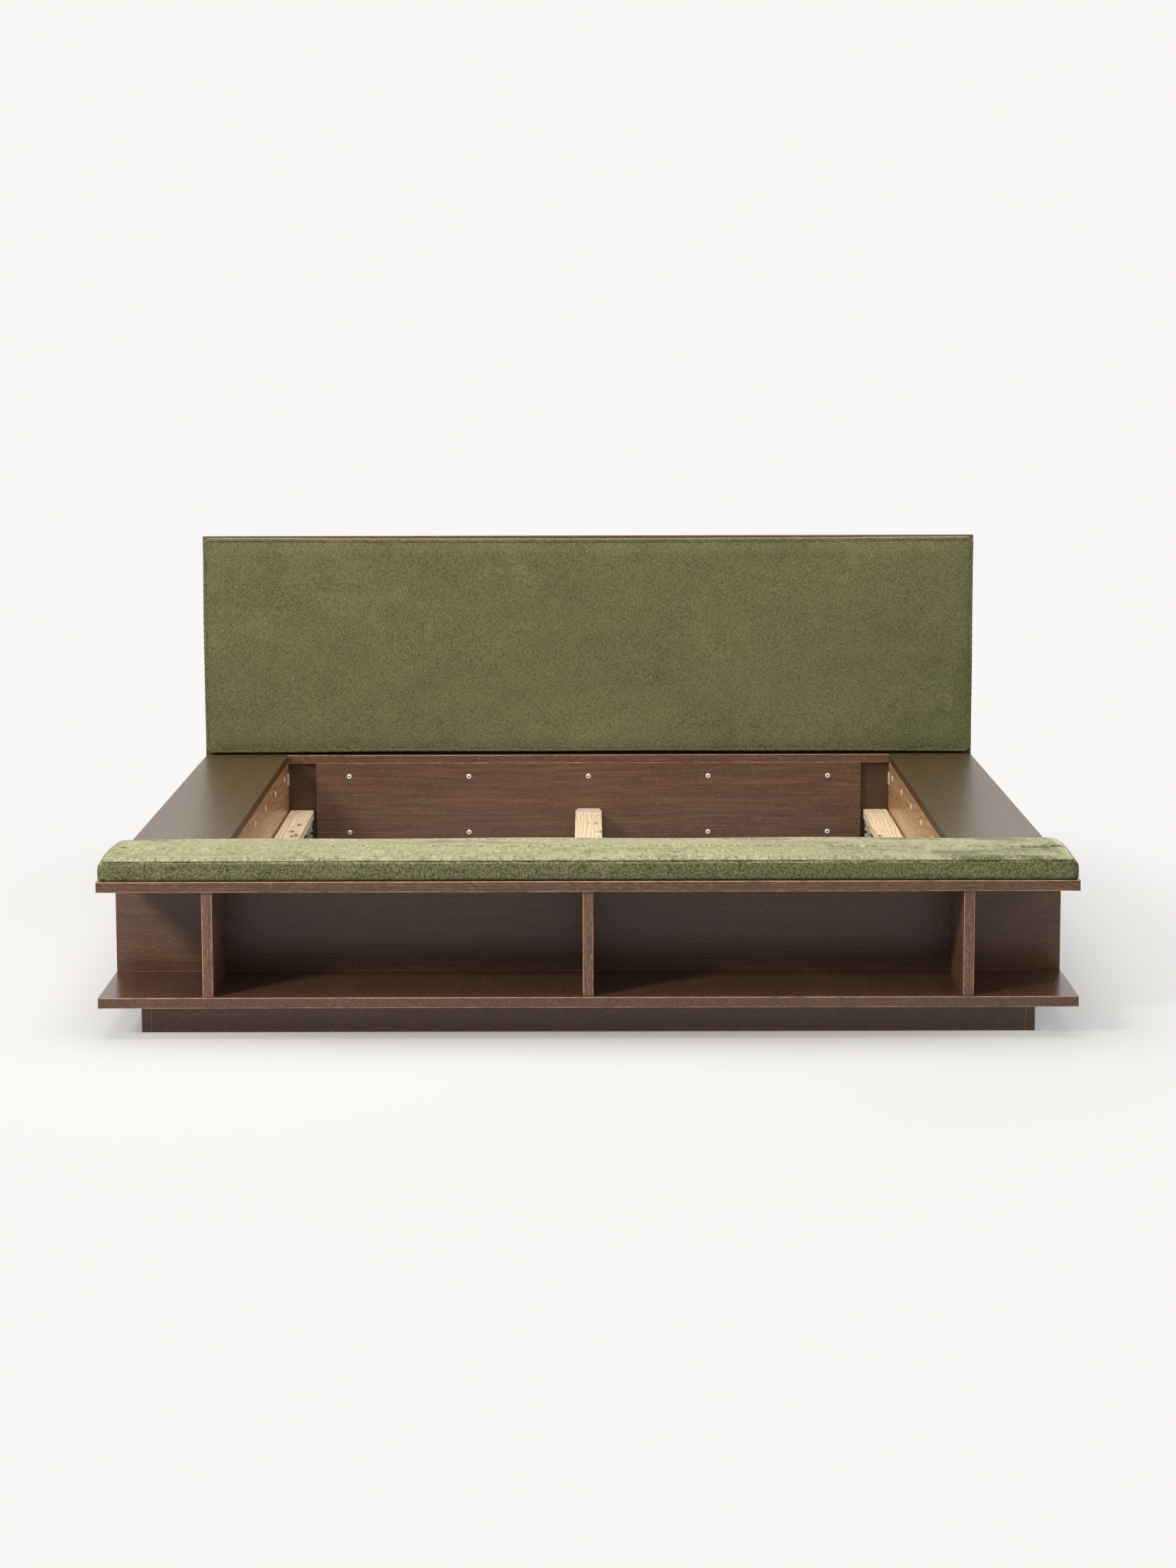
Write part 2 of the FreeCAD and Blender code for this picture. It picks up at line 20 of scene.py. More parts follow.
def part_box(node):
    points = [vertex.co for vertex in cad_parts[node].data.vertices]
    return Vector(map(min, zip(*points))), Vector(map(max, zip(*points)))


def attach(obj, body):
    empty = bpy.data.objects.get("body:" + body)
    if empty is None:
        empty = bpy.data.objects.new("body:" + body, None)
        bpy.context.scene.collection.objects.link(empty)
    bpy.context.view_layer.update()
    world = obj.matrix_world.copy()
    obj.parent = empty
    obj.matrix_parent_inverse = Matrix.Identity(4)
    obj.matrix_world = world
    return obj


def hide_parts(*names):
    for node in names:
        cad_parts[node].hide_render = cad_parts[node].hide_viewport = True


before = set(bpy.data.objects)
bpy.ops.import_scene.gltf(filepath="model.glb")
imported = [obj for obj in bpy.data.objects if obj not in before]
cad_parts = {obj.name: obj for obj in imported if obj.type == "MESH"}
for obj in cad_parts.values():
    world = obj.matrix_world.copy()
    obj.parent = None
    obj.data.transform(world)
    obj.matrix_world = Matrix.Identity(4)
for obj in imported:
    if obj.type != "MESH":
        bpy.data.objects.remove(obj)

logging.basicConfig(level=logging.INFO, format="%(message)s")
log = logging.getLogger("bed")

Colour = tuple[float, float, float]
Socket = bpy.types.NodeSocket
Thing = bpy.types.Object
Material = bpy.types.Material
Value = Socket | float | tuple
Depths = dict[tuple[int, int], np.ndarray]
MM = 0.001
FULL_TURN = 2 * math.pi
WELD = 0.01 * MM
RUN_SKEW = 1.7


class Grain(Enum):
    """The direction in which the grain of a board runs."""

    ACROSS = 0
    ALONG = 1
    UPRIGHT = 2


class Body(Enum):
    """The bodies that new pieces ride on."""

    FRAME = "frame"
    BENCH_CUSHION = "bench_cushion"


class Slot(Enum):
    """Names of material slots for new pieces; nothing in this script uses them."""

    UPHOLSTERY = "upholstery"
    ZINC = "zinc_steel"


def linear(red: int, green: int, blue: int) -> Colour:
    """Turns a colour written in screen values into linear light."""
    def channel(value: int) -> float:
        """Turns one screen value into linear light."""
        share = value / 255
        return share / 12.92 if share <= 0.04045 else ((share + 0.055) / 1.055) ** 2.4

    return channel(red), channel(green), channel(blue)


def rgba(colour: Colour) -> tuple[float, float, float, float]:
    """Gives a colour as a socket takes it."""
    return (*colour, 1.0)


class Wiring:
    """Adds the nodes of one shader tree and links them."""

    def __init__(self, tree: bpy.types.NodeTree) -> None:
        """Starts with an empty tree."""
        self.tree = tree
        tree.nodes.clear()

    def add(self, kind: str, inputs: dict | None = None, **settings) -> bpy.types.Node:
        """Adds a node.

        Args:
            kind: The node's type.
            inputs: A value or an output socket for each input, by name or number.
            **settings: The node's own properties.

        Returns:
            The new node.
        """
        node = self.tree.nodes.new(kind)
        for name, value in settings.items():
            setattr(node, name, value)
        for name, value in (inputs or {}).items():
            self.feed(node.inputs[name], value)
        return node

    def feed(self, socket: Socket, value: Value) -> None:
        """Links an output to a socket, or sets the socket's own value."""
        if isinstance(value, Socket):
            self.tree.links.new(value, socket)
        elif isinstance(value, tuple) and socket.type == "RGBA":
            socket.default_value = rgba(value[:3])
        else:
            socket.default_value = value

    def math(self, operation: str, first: Value, second: Value = 0.0, third: Value = 0.0,
             clamp: bool = False) -> Socket:
        """Adds a Math node and gives its output."""
        node = self.add("ShaderNodeMath", {0: first, 1: second, 2: third},
                        operation=operation, use_clamp=clamp)
        return node.outputs[0]

    def times(self, first: Value, second: Value) -> Socket:
        """Multiplies two values."""
        return self.math("MULTIPLY", first, second)

    def plus(self, first: Value, second: Value, clamp: bool = False) -> Socket:
        """Adds two values."""
        return self.math("ADD", first, second, clamp=clamp)

    def times_plus(self, first: Value, second: Value, third: Value,
                   clamp: bool = False) -> Socket:
        """Multiplies two values and adds a third."""
        return self.math("MULTIPLY_ADD", first, second, third, clamp)

    def vector(self, operation: str, first: Value, second: Value = (0.0, 0.0, 0.0)) -> Socket:
        """Adds a Vector Math node and gives its vector."""
        node = self.add("ShaderNodeVectorMath", {0: first, 1: second}, operation=operation)
        return node.outputs[0]

    def noise(self, place: Value, scale: float, detail: float = 2.0,
              roughness: float = 0.5, distortion: float = 0.0) -> Socket:
        """Adds a Noise Texture and gives its value."""
        inputs = {"Vector": place, "Scale": scale, "Detail": detail,
                  "Roughness": roughness, "Distortion": distortion}
        return self.add("ShaderNodeTexNoise", inputs).outputs["Fac"]

    def streaks(self, place: Value, stretch: tuple, detail: float = 2.0,
                roughness: float = 0.5, distortion: float = 0.0) -> Socket:
        """Adds a noise with its own scale along each axis and gives its value."""
        stretched = self.vector("MULTIPLY", place, stretch)
        return self.noise(stretched, 1.0, detail, roughness, distortion)

    def axes(self, place: Value) -> list[Socket]:
        """Gives the three parts of a vector."""
        return list(self.add("ShaderNodeSeparateXYZ", {0: place}).outputs)

    def swing(self, value: Value, amount: Value) -> Socket:
        """Turns a value from 0 to 1 into a swing to both sides of 0."""
        return self.times(self.math("SUBTRACT", value, 0.5), amount)

    def waves(self, turns: Value) -> Socket:
        """Gives the sine of a number of full turns."""
        return self.math("SINE", self.times(turns, FULL_TURN))

    def step(self, value: Value, low: float, high: float, to_low: float = 0.0,
             to_high: float = 1.0) -> Socket:
        """Adds a smooth Map Range node and gives its value."""
        inputs = {"Value": value, "From Min": low, "From Max": high,
                  "To Min": to_low, "To Max": to_high}
        node = self.add("ShaderNodeMapRange", inputs, interpolation_type="SMOOTHSTEP")
        return node.outputs["Result"]

    def mix(self, share: Value, first: Value, second: Value, blend: str = "MIX") -> Socket:
        """Adds a colour Mix node and gives its colour."""
        node = self.add("ShaderNodeMix", data_type="RGBA", blend_type=blend)
        self.feed(node.inputs[0], share)
        self.feed(node.inputs[6], first)
        self.feed(node.inputs[7], second)
        return node.outputs[2]

    def shade(self, colour: Value, amount: Value) -> Socket:
        """Multiplies a colour by a value and gives the colour."""
        inputs = {0: colour, "Scale": amount}
        return self.add("ShaderNodeVectorMath", inputs, operation="SCALE").outputs[0]


SOCKETS = {
    "value": "NodeSocketFloat",
    "vector": "NodeSocketVector",
    "colour": "NodeSocketColor",
}
SURFACE = (("Color", "colour"), ("Roughness", "value"), ("Height", "value"))


class Effect:
    """A shader node group that several finishes share."""

    name = "effect"
    takes: tuple[tuple[str, str], ...] = ()
    gives: tuple[tuple[str, str], ...] = ()

    def __init__(self) -> None:
        """Builds the group once."""
        tree = bpy.data.node_groups.new(self.name, "ShaderNodeTree")
        for label, kind in self.takes:
            tree.interface.new_socket(label, in_out="INPUT", socket_type=SOCKETS[kind])
        for label, kind in self.gives:
            tree.interface.new_socket(label, in_out="OUTPUT", socket_type=SOCKETS[kind])
        self.tree = tree
        w = Wiring(tree)
        self.entry = w.add("NodeGroupInput").outputs
        exits = w.add("NodeGroupOutput").inputs
        for label, value in self.wire(w).items():
            w.feed(exits[label], value)

    def wire(self, w: Wiring) -> dict[str, Socket]:
        """Fills the group with its nodes and gives what it puts out."""
        raise NotImplementedError

    def place(self, w: Wiring, finish: object, **own) -> list[Socket]:
        """Adds the group to a material's tree.

        Args:
            w: The material's wiring.
            finish: The finish, whose fields feed the inputs that have their names.
            **own: Values that are fed in place of fields.

        Returns:
            What the group puts out.
        """
        node = w.add("ShaderNodeGroup", node_tree=self.tree)
        for label, _ in self.takes:
            name = label.lower().replace(" ", "_")
            w.feed(node.inputs[label], own[name] if name in own else getattr(finish, name))
        return list(node.outputs)


class VeneerGrain(Effect):
    """Open-pored oak: long fibres, short pores, slow tone bands and wavy growth lines."""

    name = "veneer_grain"
    takes = (
        ("Vector", "vector"), ("Light", "colour"), ("Dark", "colour"),
        ("Figure", "value"), ("Line Width", "value"), ("Wander", "value"),
        ("Streak", "value"), ("Fleck", "value"),
    )
    gives = SURFACE

    def wire(self, w: Wiring) -> dict[str, Socket]:
        """Fills the group with its nodes. The grain runs along X here."""
        place, light, dark = (self.entry[key] for key in ("Vector", "Light", "Dark"))
        figure, fleck = self.entry["Figure"], self.entry["Fleck"]
        fine = w.streaks(place, (9.0, 430.0, 430.0), 3.0, 0.6)
        strands = w.streaks(place, (5.0, 170.0, 170.0), 3.0, 0.6)
        fibre = w.times_plus(strands, 0.55, w.times(fine, 0.45))
        pores = w.streaks(place, (34.0, 1100.0, 1100.0))
        bands = w.streaks(place, (0.9, 15.0, 15.0))
        flecks = w.streaks(place, (75.0, 310.0, 310.0), 2.0, 0.55)
        wander = w.streaks(place, (9.0, 7.0, 7.0), 1.5, 0.4)
        sweep = w.streaks(place, (1.1, 3.0, 3.0), 1.0, 0.4)
        _, y, z = w.axes(place)
        turns = w.math("DIVIDE", w.plus(y, z), self.entry["Line Width"])
        turns = w.times_plus(wander, self.entry["Wander"], turns)
        turns = w.times_plus(sweep, 9.0, turns)
        lines = w.step(w.waves(turns), 0.1, 1.0)
        lines = w.times(lines, w.step(bands, 0.3, 0.6, 0.45, 1.0))
        drawn = w.times(lines, figure)
        tone = w.plus(w.swing(fibre, self.entry["Streak"]), w.swing(bands, 0.85))
        tone = w.plus(w.math("SUBTRACT", tone, drawn), 0.55, clamp=True)
        colour = w.mix(tone, dark, light)
        dark_pore = w.step(pores, 0.36, 0.28)
        for mask, share, tint in (
                (dark_pore, 0.38, dark),
                (w.step(pores, 0.66, 0.74), 0.42, w.shade(light, 1.55)),
                (w.step(flecks, 0.54, 0.68), fleck, w.shade(light, 1.9)),
                (w.step(flecks, 0.46, 0.34), fleck, dark)):
            colour = w.mix(w.times(mask, share), colour, tint)
        rough = w.times_plus(fibre, 0.14, 0.19)
        rough = w.times_plus(dark_pore, 0.18, rough)
        height = w.times_plus(fibre, 0.45, 0.3)
        height = w.times_plus(dark_pore, -0.4, height)
        height = w.times_plus(drawn, -0.5, height)
        return {"Color": colour, "Roughness": rough, "Height": height}


class WornArris(Effect):
    """Where a board's long edges are rubbed: a thin broken line along them."""

    name = "worn_arris"
    takes = (("Low", "vector"), ("High", "vector"), ("Width", "value"))
    gives = (("Mask", "value"),)

    def wire(self, w: Wiring) -> dict[str, Socket]:
        """Fills the group with its nodes: the middle one of the three distances to the faces."""
        place = w.add("ShaderNodeTexCoord").outputs["Object"]
        from_low = w.vector("ABSOLUTE", w.vector("SUBTRACT", place, self.entry["Low"]))
        from_high = w.vector("ABSOLUTE", w.vector("SUBTRACT", self.entry["High"], place))
        x, y, z = w.axes(w.vector("MINIMUM", from_low, from_high))
        greater = w.math("MINIMUM", w.math("MAXIMUM", x, y), z)
        middle = w.math("MAXIMUM", w.math("MINIMUM", x, y), greater)
        worn = w.step(w.noise(place, 23.0, 4.0, 0.65), 0.3, 0.7, 0.55, 1.35)
        share = w.math("DIVIDE", middle, w.times(self.entry["Width"], worn))
        return {"Mask": w.step(share, 1.25, 0.55)}


class PileWeave(Effect):
    """Short chenille pile: crossing threads, speckled tufts and slow brushed patches, with
    painted top light on up-facing faces.
    """

    name = "pile_weave"
    takes = (
        ("Vector", "vector"), ("Tuft", "colour"), ("Ground", "colour"),
        ("Contrast", "value"), ("Nap", "value"), ("Rubbed", "value"), ("Lifted", "colour"),
    )
    gives = SURFACE

    def wire(self, w: Wiring) -> dict[str, Socket]:
        """Fills the group with its nodes."""
        place = self.entry["Vector"]
        weft = w.streaks(place, (120.0, 420.0, 420.0), 2.0, 0.55)
        warp = w.streaks(place, (420.0, 120.0, 120.0), 2.0, 0.55)
        tufts = w.noise(place, 190.0, 4.0, 0.7)
        height = w.times(w.math("MAXIMUM", weft, warp), 0.5)
        height = w.times_plus(tufts, 0.55, height)
        facing = w.add("ShaderNodeNewGeometry").outputs["Normal"]
        up = w.step(w.axes(facing)[2], 0.35, 0.9)
        contrast = w.times(self.entry["Contrast"], w.times_plus(up, -0.35, 1.0))
        tone = w.times(w.math("SUBTRACT", height, 0.56), contrast)
        brushed = w.streaks(place, (2.4, 2.4, 3.4), 3.0, 0.55, 0.8)
        smudge = w.streaks(place, (14.0, 14.0, 19.0), 2.0, 0.5, 0.5)
        slow = w.plus(w.swing(brushed, 0.28), w.swing(smudge, 0.22))
        tone = w.plus(w.plus(tone, slow), 0.5)
        nap = w.streaks(place, (120.0, 26.0, 120.0), 3.0, 0.6)
        rubs = w.streaks(place, (4.2, 8.5, 4.2), 4.0, 0.62, 0.5)
        rubs = w.plus(rubs, self.entry["Rubbed"])
        nap = w.math("SUBTRACT", nap, w.step(rubs, 0.53, 0.76, 0.47, 0.85))
        nap = w.times(w.times(nap, up), self.entry["Nap"])
        tone = w.plus(tone, nap, clamp=True)
        colour = w.mix(tone, self.entry["Ground"], self.entry["Tuft"])
        # Painted top light: up-facing faces are multiplied by a paler colour, as if lit from
        # above.
        lifted = w.mix(1.0, colour, self.entry["Lifted"], "MULTIPLY")
        return {"Color": w.mix(up, colour, lifted),
                "Roughness": w.times_plus(tufts, 0.1, 0.84), "Height": height}


class PineGrain(Effect):
    """Planed pine: wide growth lines, fine fibres and scattered knots."""

    name = "pine_grain"
    line_width = 10.5 * MM
    takes = (("Vector", "vector"), ("Early", "colour"), ("Late", "colour"), ("Knot", "colour"))
    gives = SURFACE

    def wire(self, w: Wiring) -> dict[str, Socket]:
        """Fills the group with its nodes. The grain runs along X here."""
        place, late = self.entry["Vector"], self.entry["Late"]
        cells = w.add("ShaderNodeTexVoronoi", {
            "Vector": w.vector("MULTIPLY", place, (7.5, 26.0, 26.0)), "Scale": 1.0})
        far = cells.outputs["Distance"]
        knot = w.step(far, 0.2, 0.1)
        around = w.step(far, 0.5, 0.1)
        slow = w.streaks(place, (1.3, 16.0, 16.0))
        _, y, z = w.axes(place)
        turns = w.math("DIVIDE", w.times_plus(z, 0.6, y), self.line_width)
        turns = w.times_plus(slow, 5.0, turns)
        turns = w.times_plus(around, 1.4, turns)
        lines = w.step(w.waves(turns), -0.2, 1.0)
        fibre = w.streaks(place, (9.0, 600.0, 600.0), 3.0, 0.6)
        tone = w.times_plus(lines, 0.62, w.swing(fibre, 0.5), clamp=True)
        colour = w.mix(tone, self.entry["Early"], late)
        colour = w.mix(w.times(around, 0.35), colour, late)
        colour = w.mix(w.times(knot, 0.85), colour, self.entry["Knot"])
        height = w.times_plus(lines, -0.25, w.times(fibre, 0.5))
        return {"Color": colour, "Roughness": w.times_plus(fibre, 0.15, 0.5),
                "Height": height}


class PlateScuff(Effect):
    """Plated sheet metal: faint spangle, rolling marks and rubbed patches."""

    name = "plate_scuff"
    takes = (("Vector", "vector"), ("Bright", "colour"), ("Dull", "colour"))
    gives = SURFACE

    def wire(self, w: Wiring) -> dict[str, Socket]:
        """Fills the group with its nodes."""
        place = self.entry["Vector"]
        cells = w.add("ShaderNodeTexVoronoi", {"Vector": place, "Scale": 260.0})
        spangle = w.add("ShaderNodeSeparateColor", {0: cells.outputs["Color"]}).outputs[0]
        marks = w.streaks(place, (40.0, 40.0, 900.0), 2.0, 0.6)
        cloud = w.noise(place, 34.0, 3.0, 0.6)
        tone = w.times_plus(spangle, 0.35, w.times(cloud, 0.6))
        tone = w.plus(tone, w.swing(marks, 0.3), clamp=True)
        return {"Color": w.mix(tone, self.entry["Dull"], self.entry["Bright"]),
                "Roughness": w.times_plus(cloud, 0.28, 0.2),
                "Height": w.times_plus(marks, 0.6, w.times(spangle, 0.25))}


class Workshop:
    """Holds the shared effects, built once."""

    def __init__(self) -> None:
        """Builds every effect."""
        self.veneer = VeneerGrain()
        self.arris = WornArris()
        self.pile = PileWeave()
        self.pine = PineGrain()
        self.scuff = PlateScuff()


GRAIN_TURN = {
    Grain.ACROSS: (0.0, 0.0, 0.0),
    Grain.ALONG: (0.0, 0.0, -math.pi / 2),
    Grain.UPRIGHT: (0.0, math.pi / 2, 0.0),
}


def start_material(name: str) -> tuple[Material, Wiring, Socket]:
    """Starts a material.

    Args:
        name: The material's name.

    Returns:
        The material, its wiring and the Object coordinates.
    """
    material = bpy.data.materials.new(name)
    material.use_nodes = True
    w = Wiring(material.node_tree)
    return material, w, w.add("ShaderNodeTexCoord").outputs["Object"]


def close_material(w: Wiring, surface: tuple, depth: float, more: dict | None = None) -> None:
    """Ends a material with its shader.

    Args:
        w: The material's wiring.
        surface: The colour, the roughness and the relief from 0 to 1.
        depth: How deep the relief is, in metres.
        more: More of the shader's values, by socket name.
    """
    colour, rough, height = surface
    bump = w.add("ShaderNodeBump", {"Height": height, "Strength": 1.0, "Distance": depth})
    shader = w.add("ShaderNodeBsdfPrincipled", {
        "Base Color": colour, "Roughness": rough, "Normal": bump.outputs["Normal"],
        **(more or {})})
    w.add("ShaderNodeOutputMaterial", {"Surface": shader.outputs[0]})


def turned(w: Wiring, place: Value, grain: Grain) -> Socket:
    """Turns the coordinates so that X runs with the grain."""
    node = w.add("ShaderNodeMapping", {"Vector": place, "Rotation": GRAIN_TURN[grain]})
    return node.outputs[0]


@dataclass(frozen=True)
class OakFinish:
    """Stained and lacquered oak veneer."""

    name: str
    light: Colour
    dark: Colour
    worn: Colour = (0.62, 0.33, 0.165)
    grain: Grain = Grain.ACROSS
    run: Grain | None = None
    figure: float = 0.05
    line_width: float = 0.011
    wander: float = 1.7
    streak: float = 1.0
    fleck: float = 0.3
    wear: float = 1.7 * MM
    relief: float = 0.12 * MM
    matt: float = 0.0
    # Painted shadow: when set, the top face is coloured near black and made matt, for the shade
    # in the gap under the headboard cushion.
    painted_gap_shadow: bool = False
    gap: Colour = (0.004, 0.0035, 0.0035)
    worn_share: float = 0.72
    worn_matt: float = 0.15
    gap_shadow_matt: float = 0.6
    gap_shadow_span: tuple[float, float] = (0.6 * MM, 0.2 * MM)

    def material(self, shop: Workshop, node: str) -> Material:
        """Makes the finish of one board.

        Args:
            shop: The shared effects.
            node: The board's node, whose box places the rubbed edges.

        Returns:
            The board's material.
        """
        material, w, place = start_material(f"{self.name}_{node}")
        along = turned(w, place, self.grain)
        colour, rough, height = shop.veneer.place(w, self, vector=along)
        low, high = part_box(node)
        run = (self.run or self.grain).value
        low[run] -= 1
        high[run] += 1
        rubbed = shop.arris.place(w, self, low=tuple(low), high=tuple(high),
                                  width=self.wear)[0]
        colour = w.mix(w.times(rubbed, self.worn_share), colour, self.worn)
        rough = w.plus(rough, self.matt)
        rough = w.times_plus(rubbed, self.worn_matt, rough)
        # Painted shadow of the gap under the headboard cushion, laid on the board's top face.
        if self.painted_gap_shadow:
            start, full = (high[2] - depth for depth in self.gap_shadow_span)
            painted_gap_shadow_mask = w.step(w.axes(place)[2], start, full)
            colour = w.mix(painted_gap_shadow_mask, colour, self.gap)
            rough = w.plus(rough, w.times(painted_gap_shadow_mask, self.gap_shadow_matt), clamp=True)
        close_material(w, (colour, rough, height), self.relief, {"IOR": 1.45})
        return material


@dataclass(frozen=True)
class PineFinish:
    """Bare planed pine."""

    name: str
    early: Colour = (0.78, 0.63, 0.44)
    late: Colour = (0.48, 0.31, 0.165)
    knot: Colour = (0.17, 0.07, 0.025)
    grain: Grain = Grain.ALONG
    relief: float = 0.2 * MM

    def material(self, shop: Workshop) -> Material:
        """Makes the material."""
        material, w, place = start_material(self.name)
        pine = shop.pine.place(w, self, vector=turned(w, place, self.grain))
        close_material(w, tuple(pine), self.relief)
        return material


@dataclass(frozen=True)
class FabricFinish:
    """Olive chenille with a short brushed pile, with painted top light on up-facing faces and
    painted shade from the seam attribute.
    """

    name: str = "olive_chenille"
    tuft: Colour = (0.238, 0.23, 0.116)
    ground: Colour = (0.04, 0.038, 0.014)
    contrast: float = 4.4
    nap: float = 1.5
    # Painted top light: the colour of up-facing faces is multiplied by this.
    lifted: Colour = (2.1, 2.1, 2.4)
    rubbed: tuple[float, float, float] = (0.45, 0.8, 0.09)
    sheen: float = 1.0
    sheen_roughness: float = 0.3
    sheen_tint: Colour = (0.93, 0.95, 0.66)
    painted_shade_strength: float = -0.8
    # Painted shade: how much the seam attribute darkens the colour.
    specular: float = 0.12
    relief: float = 1.7 * MM

    def material(self, shop: Workshop) -> Material:
        """Makes the material."""
        material, w, place = start_material(self.name)
        start, full, share = self.rubbed
        rubbed = w.step(w.axes(place)[0], start, full, 0.0, share)
        colour, rough, height = shop.pile.place(w, self, vector=place, rubbed=rubbed)
        # The seam attribute holds painted shade along the seam's groove and along the line where
        # the cushion rests.
        seam = w.add("ShaderNodeAttribute", attribute_name="seam").outputs["Fac"]
        colour = w.shade(colour, w.times_plus(seam, self.painted_shade_strength, 1.0))
        close_material(w, (colour, rough, height), self.relief, {
            "Specular IOR Level": self.specular,
            "Sheen Weight": self.sheen,
            "Sheen Roughness": self.sheen_roughness,
            "Sheen Tint": rgba(self.sheen_tint),
        })
        return material


@dataclass(frozen=True)
class SocketRows:
    """Where the sockets of two rows of evenly spaced bolts are, for their painted shade."""

    apart: float
    rows: tuple[float, float]
    front: float
    radius: float = 3.0 * MM
    edge: float = 0.1 * MM

    def mask(self, w: Wiring, place: Value) -> Socket:
        """Gives 1 inside the sockets and 0 on the heads.

        Args:
            w: The material's wiring.
            place: The Object coordinates.

        Returns:
            The mask.
        """
        x, y, z = w.axes(place)
        beside = w.math("PINGPONG", w.math("ABSOLUTE", x), self.apart / 2)
        over, under = (w.math("ABSOLUTE", w.math("SUBTRACT", z, row)) for row in self.rows)
        level = w.math("MINIMUM", over, under)
        far = w.math("SQRT", w.plus(w.times(beside, beside), w.times(level, level)))
        deep = w.step(y, self.front + self.edge, self.front + 5 * self.edge)
        return w.times(deep, w.step(far, self.radius, self.radius - self.edge))


@dataclass(frozen=True)
class PlatedFinish:
    """Plated steel, with painted shade in the bolt sockets when they are given."""

    name: str
    bright: Colour
    dull: Colour
    metallic: float = 0.75
    relief: float = 0.06 * MM
    painted_shade_sockets: SocketRows | None = None
    painted_socket_shade: Colour = (0.012, 0.011, 0.01)

    def material(self, shop: Workshop) -> Material:
        """Makes the material."""
        material, w, place = start_material(self.name)
        colour, rough, height = shop.scuff.place(w, self, vector=place)
        if self.painted_shade_sockets:
            # Painted shade: the inside of each socket is coloured near black.
            colour = w.mix(self.painted_shade_sockets.mask(w, place), colour, self.painted_socket_shade)
        close_material(w, (colour, rough, height), self.relief, {"Metallic": self.metallic})
        return material


@dataclass(frozen=True)
class PlainFinish:
    """Moulded plastic or pressed felt with a slight mottle."""

    name: str
    light: Colour
    dark: Colour
    scale: float
    roughness: float
    relief: float

    def material(self) -> Material:
        """Makes the material."""
        material, w, place = start_material(self.name)
        mottle = w.noise(place, self.scale, 3.0, 0.6)
        fine = w.noise(place, self.scale * 9, 2.0, 0.5)
        tone = w.times_plus(mottle, 0.6, w.times(fine, 0.4))
        colour = w.mix(w.step(tone, 0.3, 0.7), self.dark, self.light)
        rough = w.times_plus(mottle, 0.12, self.roughness)
        close_material(w, (colour, rough, fine), self.relief)
        return material


def dress(node: str, material: Material) -> None:
    """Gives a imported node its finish."""
    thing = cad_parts[node]
    for slot in thing.material_slots:
        slot.material = material


